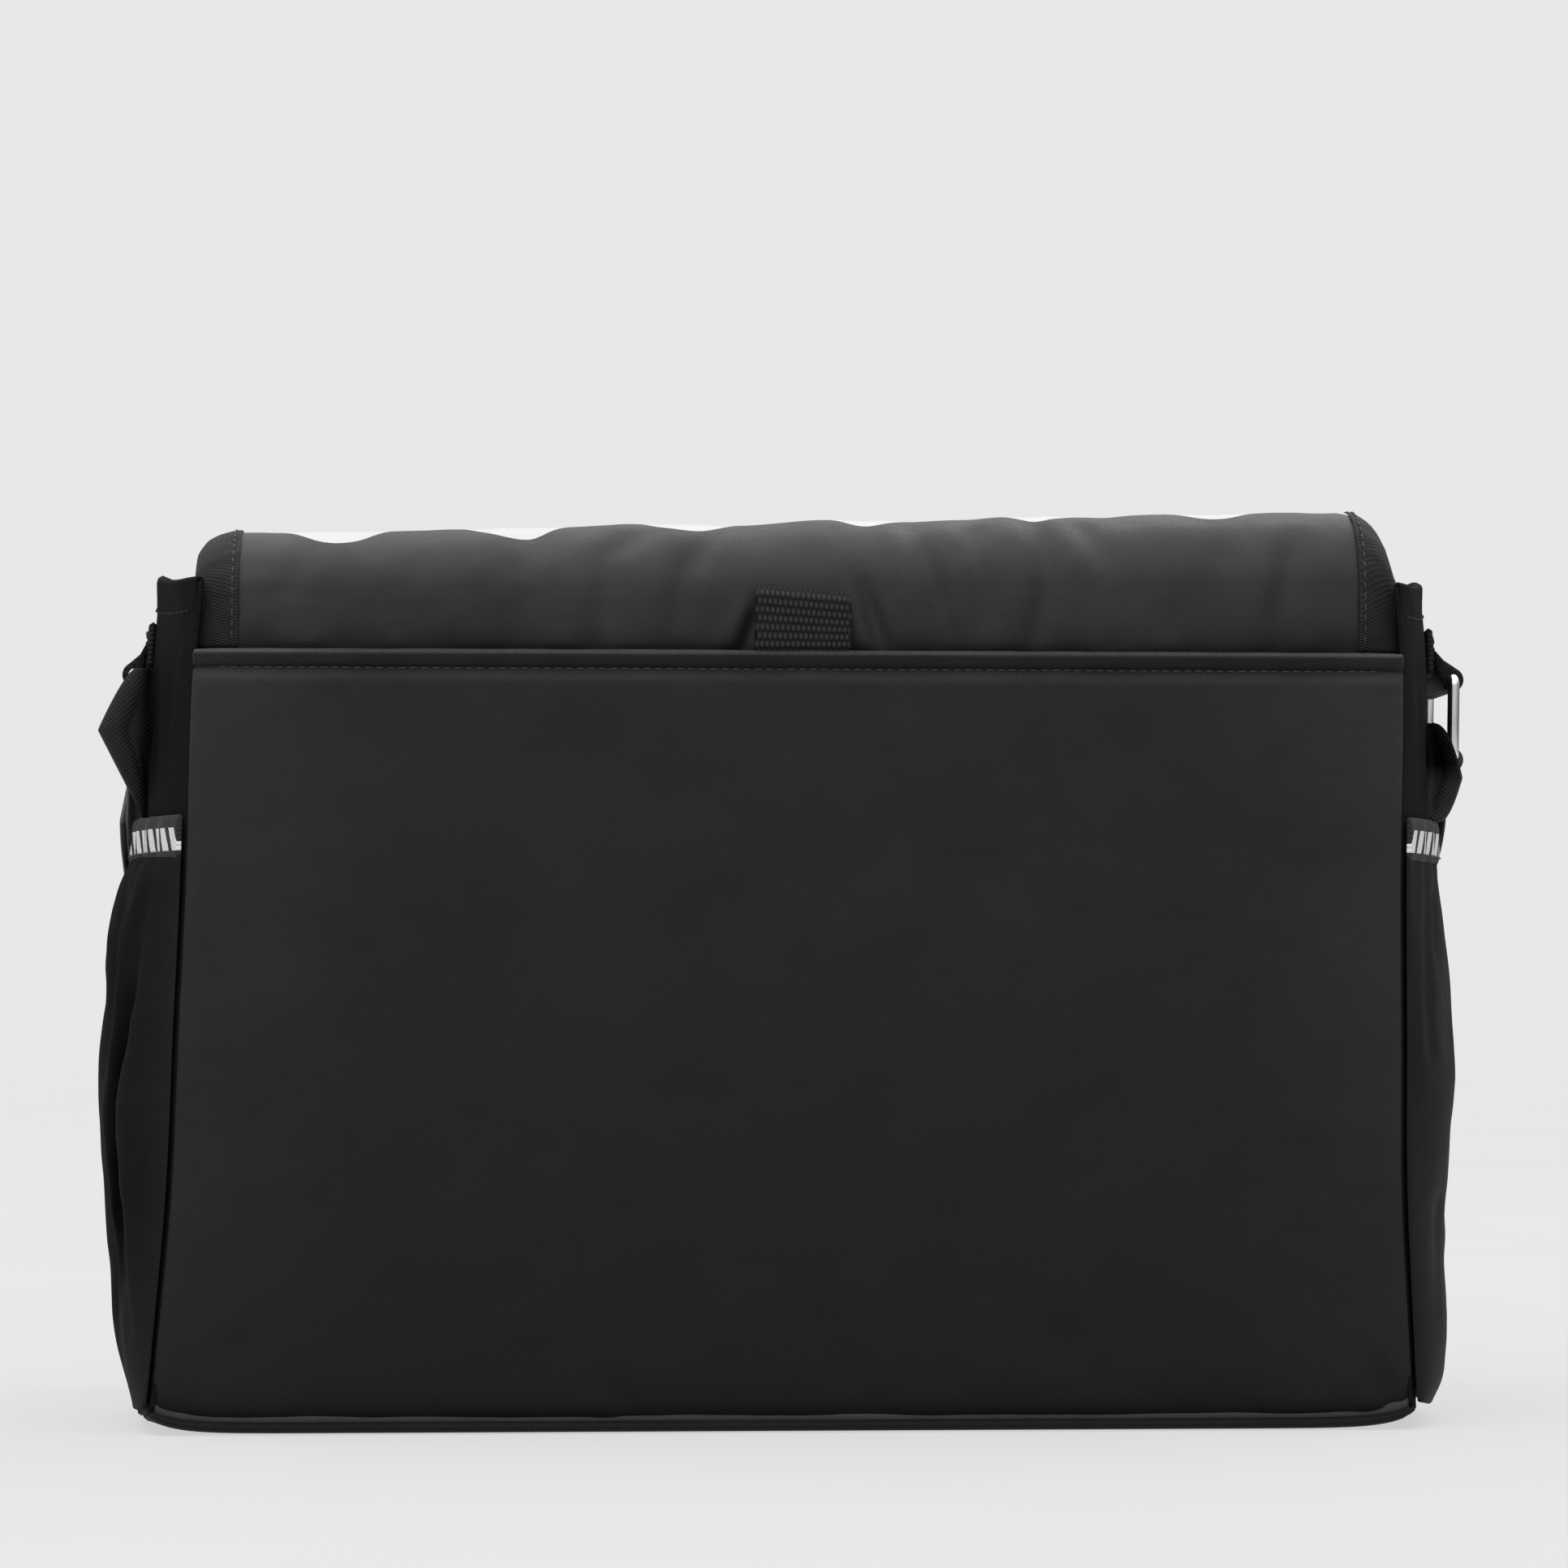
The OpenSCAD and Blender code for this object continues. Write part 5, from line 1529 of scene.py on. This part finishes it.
def make_zip():
    low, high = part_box("zip_welt")
    tape_low, tape_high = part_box("zip_tape")
    u, w = np.meshgrid(spread(-1, 1, 81), spread(-1, 1, 13))
    x = u * tape_high.x
    z = (tape_low.z + tape_high.z) / 2 + w * (tape_high.z - tape_low.z) / 2
    wave = 0.0002 * field(x, z, 0.01, 111)
    piece = slab("zip_tape_cloth", points(x, tape_low.y + np.abs(wave), z), points(x, tape_high.y, z), [BINDING])
    place(piece, "bag", "zip_coil", "zip_tape")
    middle = (low.z + high.z) / 2
    gap = (tape_high.z - tape_low.z) / 2 - 0.0005
    for name, side in (("lower", -1), ("upper", 1)):
        u, w = np.meshgrid(spread(-1, 1, 81), spread(0, 1, 9))
        x = u * high.x
        z = middle + side * (gap + w * (high.z - middle - gap))
        roll = 0.0006 * np.exp(-w * 9 / 1.5)
        face = points(x, low.y - roll + 0.0001 * field(x, z, 0.012, 112), z)
        piece = slab(f"zip_welt_{name}", face, points(x, high.y, z), [LINING])
        nodes = ["zip_welt"] if side > 0 else []
        place(piece, "bag", "lining", *nodes)
        path = points(spread(-high.x + 0.003, high.x - 0.003, 120), low.y - 0.0003, middle + side * (gap + 0.0022))
        place(stitches(f"zip_stitches_{name}", path, (0, -1, 0), THREAD, pitch=0.003, length=0.0022), "bag", "binding")
    low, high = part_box("zip_coil")
    pitch = 0.0016
    for name, side in (("lower", -1), ("upper", 1)):
        turns = int((high.x - low.x - 0.002) / pitch)
        t = spread(0, turns * 2 * math.pi, turns * 10)
        x = low.x + 0.001 + t / (2 * math.pi) * pitch + (pitch / 2 if side > 0 else 0)
        z = middle + side * 0.0008 + 0.0010 * np.cos(t)
        y = (low.y + high.y) / 2 + 0.0004 * np.sin(t)
        piece = tube(f"zip_teeth_{name}", points(x, y, z), 0.00032, PLASTIC, sides=6, across=(1.0, 0.1, 0.0))
        nodes = ["zip_coil"] if side > 0 else []
        place(piece, "bag", "zip_coil", *nodes)


def finish_cad_nodes():
    """CAD pieces whose shape is right keep it and get a material."""
    looks = {
        "zip_slider": (ZIP_METAL, "zip_metal"),
        "zip_pull": (ZIP_METAL, "zip_metal"),
        "strap_slider": (PLASTIC, "buckle_plastic"),
        "base_board": (BOARD, "board"),
    }
    for name, (material, slot) in looks.items():
        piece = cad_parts[name]
        piece.data.materials.clear()
        piece.data.materials.append(material)
        piece.data.shade_smooth()
        piece.data.set_sharp_from_angle(angle=math.radians(35))
        bevel = piece.modifiers.new("round_edges", "BEVEL")
        bevel.width = 0.00035
        bevel.segments = 2
        bevel.limit_method = "ANGLE"


# ---- Studio ----


def area_light(name, where, aim, size, power):
    data = bpy.data.lights.new(name, "AREA")
    data.shape = "RECTANGLE"
    data.size = size[0]
    data.size_y = size[1]
    data.energy = power
    lamp = bpy.data.objects.new(name, data)
    lamp.location = where
    way = np.array(aim, float) - np.array(where, float)
    lamp.rotation_euler = Vector(way).to_track_quat("-Z", "Y").to_euler()
    bpy.context.scene.collection.objects.link(lamp)


def make_sky(scene):
    """Soft light that is strongest overhead, behind an even pale backdrop."""
    world = bpy.data.worlds.new("studio")
    scene.world = world
    world.use_nodes = True
    tree = world.node_tree
    where = tree.nodes.new("ShaderNodeTexCoord").outputs["Generated"]
    up = node(tree, "ShaderNodeSeparateXYZ", i0=where).outputs[2]
    rear = node(tree, "ShaderNodeSeparateXYZ", i0=where).outputs[1]
    overhead = ramp(tree, up, [(0.0, (0, 0, 0)), (0.35, (0.12,) * 3), (0.9, (1,) * 3)])
    behind = ramp(tree, rear, [(0.2, (0, 0, 0)), (0.9, (1,) * 3)])
    strength = math_node(tree, "MULTIPLY_ADD", overhead, SKY_HIGH)
    strength.node.inputs[2].default_value = SKY_LOW
    strength = math_node(tree, "ADD", strength, math_node(tree, "MULTIPLY", behind, SKY_REAR))
    lit = node(tree, "ShaderNodeBackground", Color=(1, 1, 1, 1), Strength=strength)
    plain = node(tree, "ShaderNodeBackground", Color=(BACKDROP, BACKDROP, BACKDROP, 1), Strength=1.0)
    seen = tree.nodes.new("ShaderNodeLightPath").outputs["Is Camera Ray"]
    mix = node(tree, "ShaderNodeMixShader", i0=seen)
    tree.links.new(lit.outputs[0], mix.inputs[1])
    tree.links.new(plain.outputs[0], mix.inputs[2])
    tree.links.new(mix.outputs[0], tree.nodes["World Output"].inputs["Surface"])


SKY_LOW = 0.16
SKY_HIGH = 1.9
SKY_REAR = 0.35
BACKDROP = 0.805
FLOOR_GLOW = 0.72
FLOOR_TONE = 0.155


def make_studio():
    scene = bpy.context.scene
    scene.view_settings.view_transform = "Standard"
    make_sky(scene)
    material, tree, shader = new_tree("floor_paper")
    where = tree.nodes.new("ShaderNodeTexCoord").outputs["Object"]
    fibre = node(tree, "ShaderNodeTexNoise", Vector=where, Scale=3.0, Detail=3.0)
    tones = [(0.3, (FLOOR_TONE - 0.005,) * 3), (0.7, (FLOOR_TONE + 0.005,) * 3)]
    tree.links.new(ramp(tree, fibre.outputs[0], tones), shader.inputs["Base Color"])
    shader.inputs["Roughness"].default_value = 0.9
    shader.inputs["Specular IOR Level"].default_value = 0.0
    shader.inputs["Emission Color"].default_value = (BACKDROP, BACKDROP, BACKDROP, 1)
    shader.inputs["Emission Strength"].default_value = FLOOR_GLOW
    radius = 30
    turn = np.arange(96) * 2 * math.pi / 96
    verts = points(radius * np.cos(turn), radius * np.sin(turn), -0.0002 + 0 * turn)
    floor = mesh_object("floor", verts, [list(range(96))], np.zeros((96, 2)), [material], [0])
    area_light("back_softbox", (0.5, 1.1, 1.2), (0, 0.06, 0.2), (1.0, 0.6), 3.0)
    area_light("front_softbox", (-0.8, -1.6, 1.8), (0, 0, 0.15), (1.4, 1.0), 4)


make_slip_pocket()
make_back_wall()
make_front_wall()
make_base()
make_side_walls()
make_mouth_binding()
make_lining()
make_inner_pocket()
make_front_pocket()
make_snaps()
make_side_pockets()
make_flap()
make_hanging_loop()
make_tab_patches()
make_rings()
make_strap()
make_strap_folds()
make_zip()
finish_cad_nodes()
make_studio()
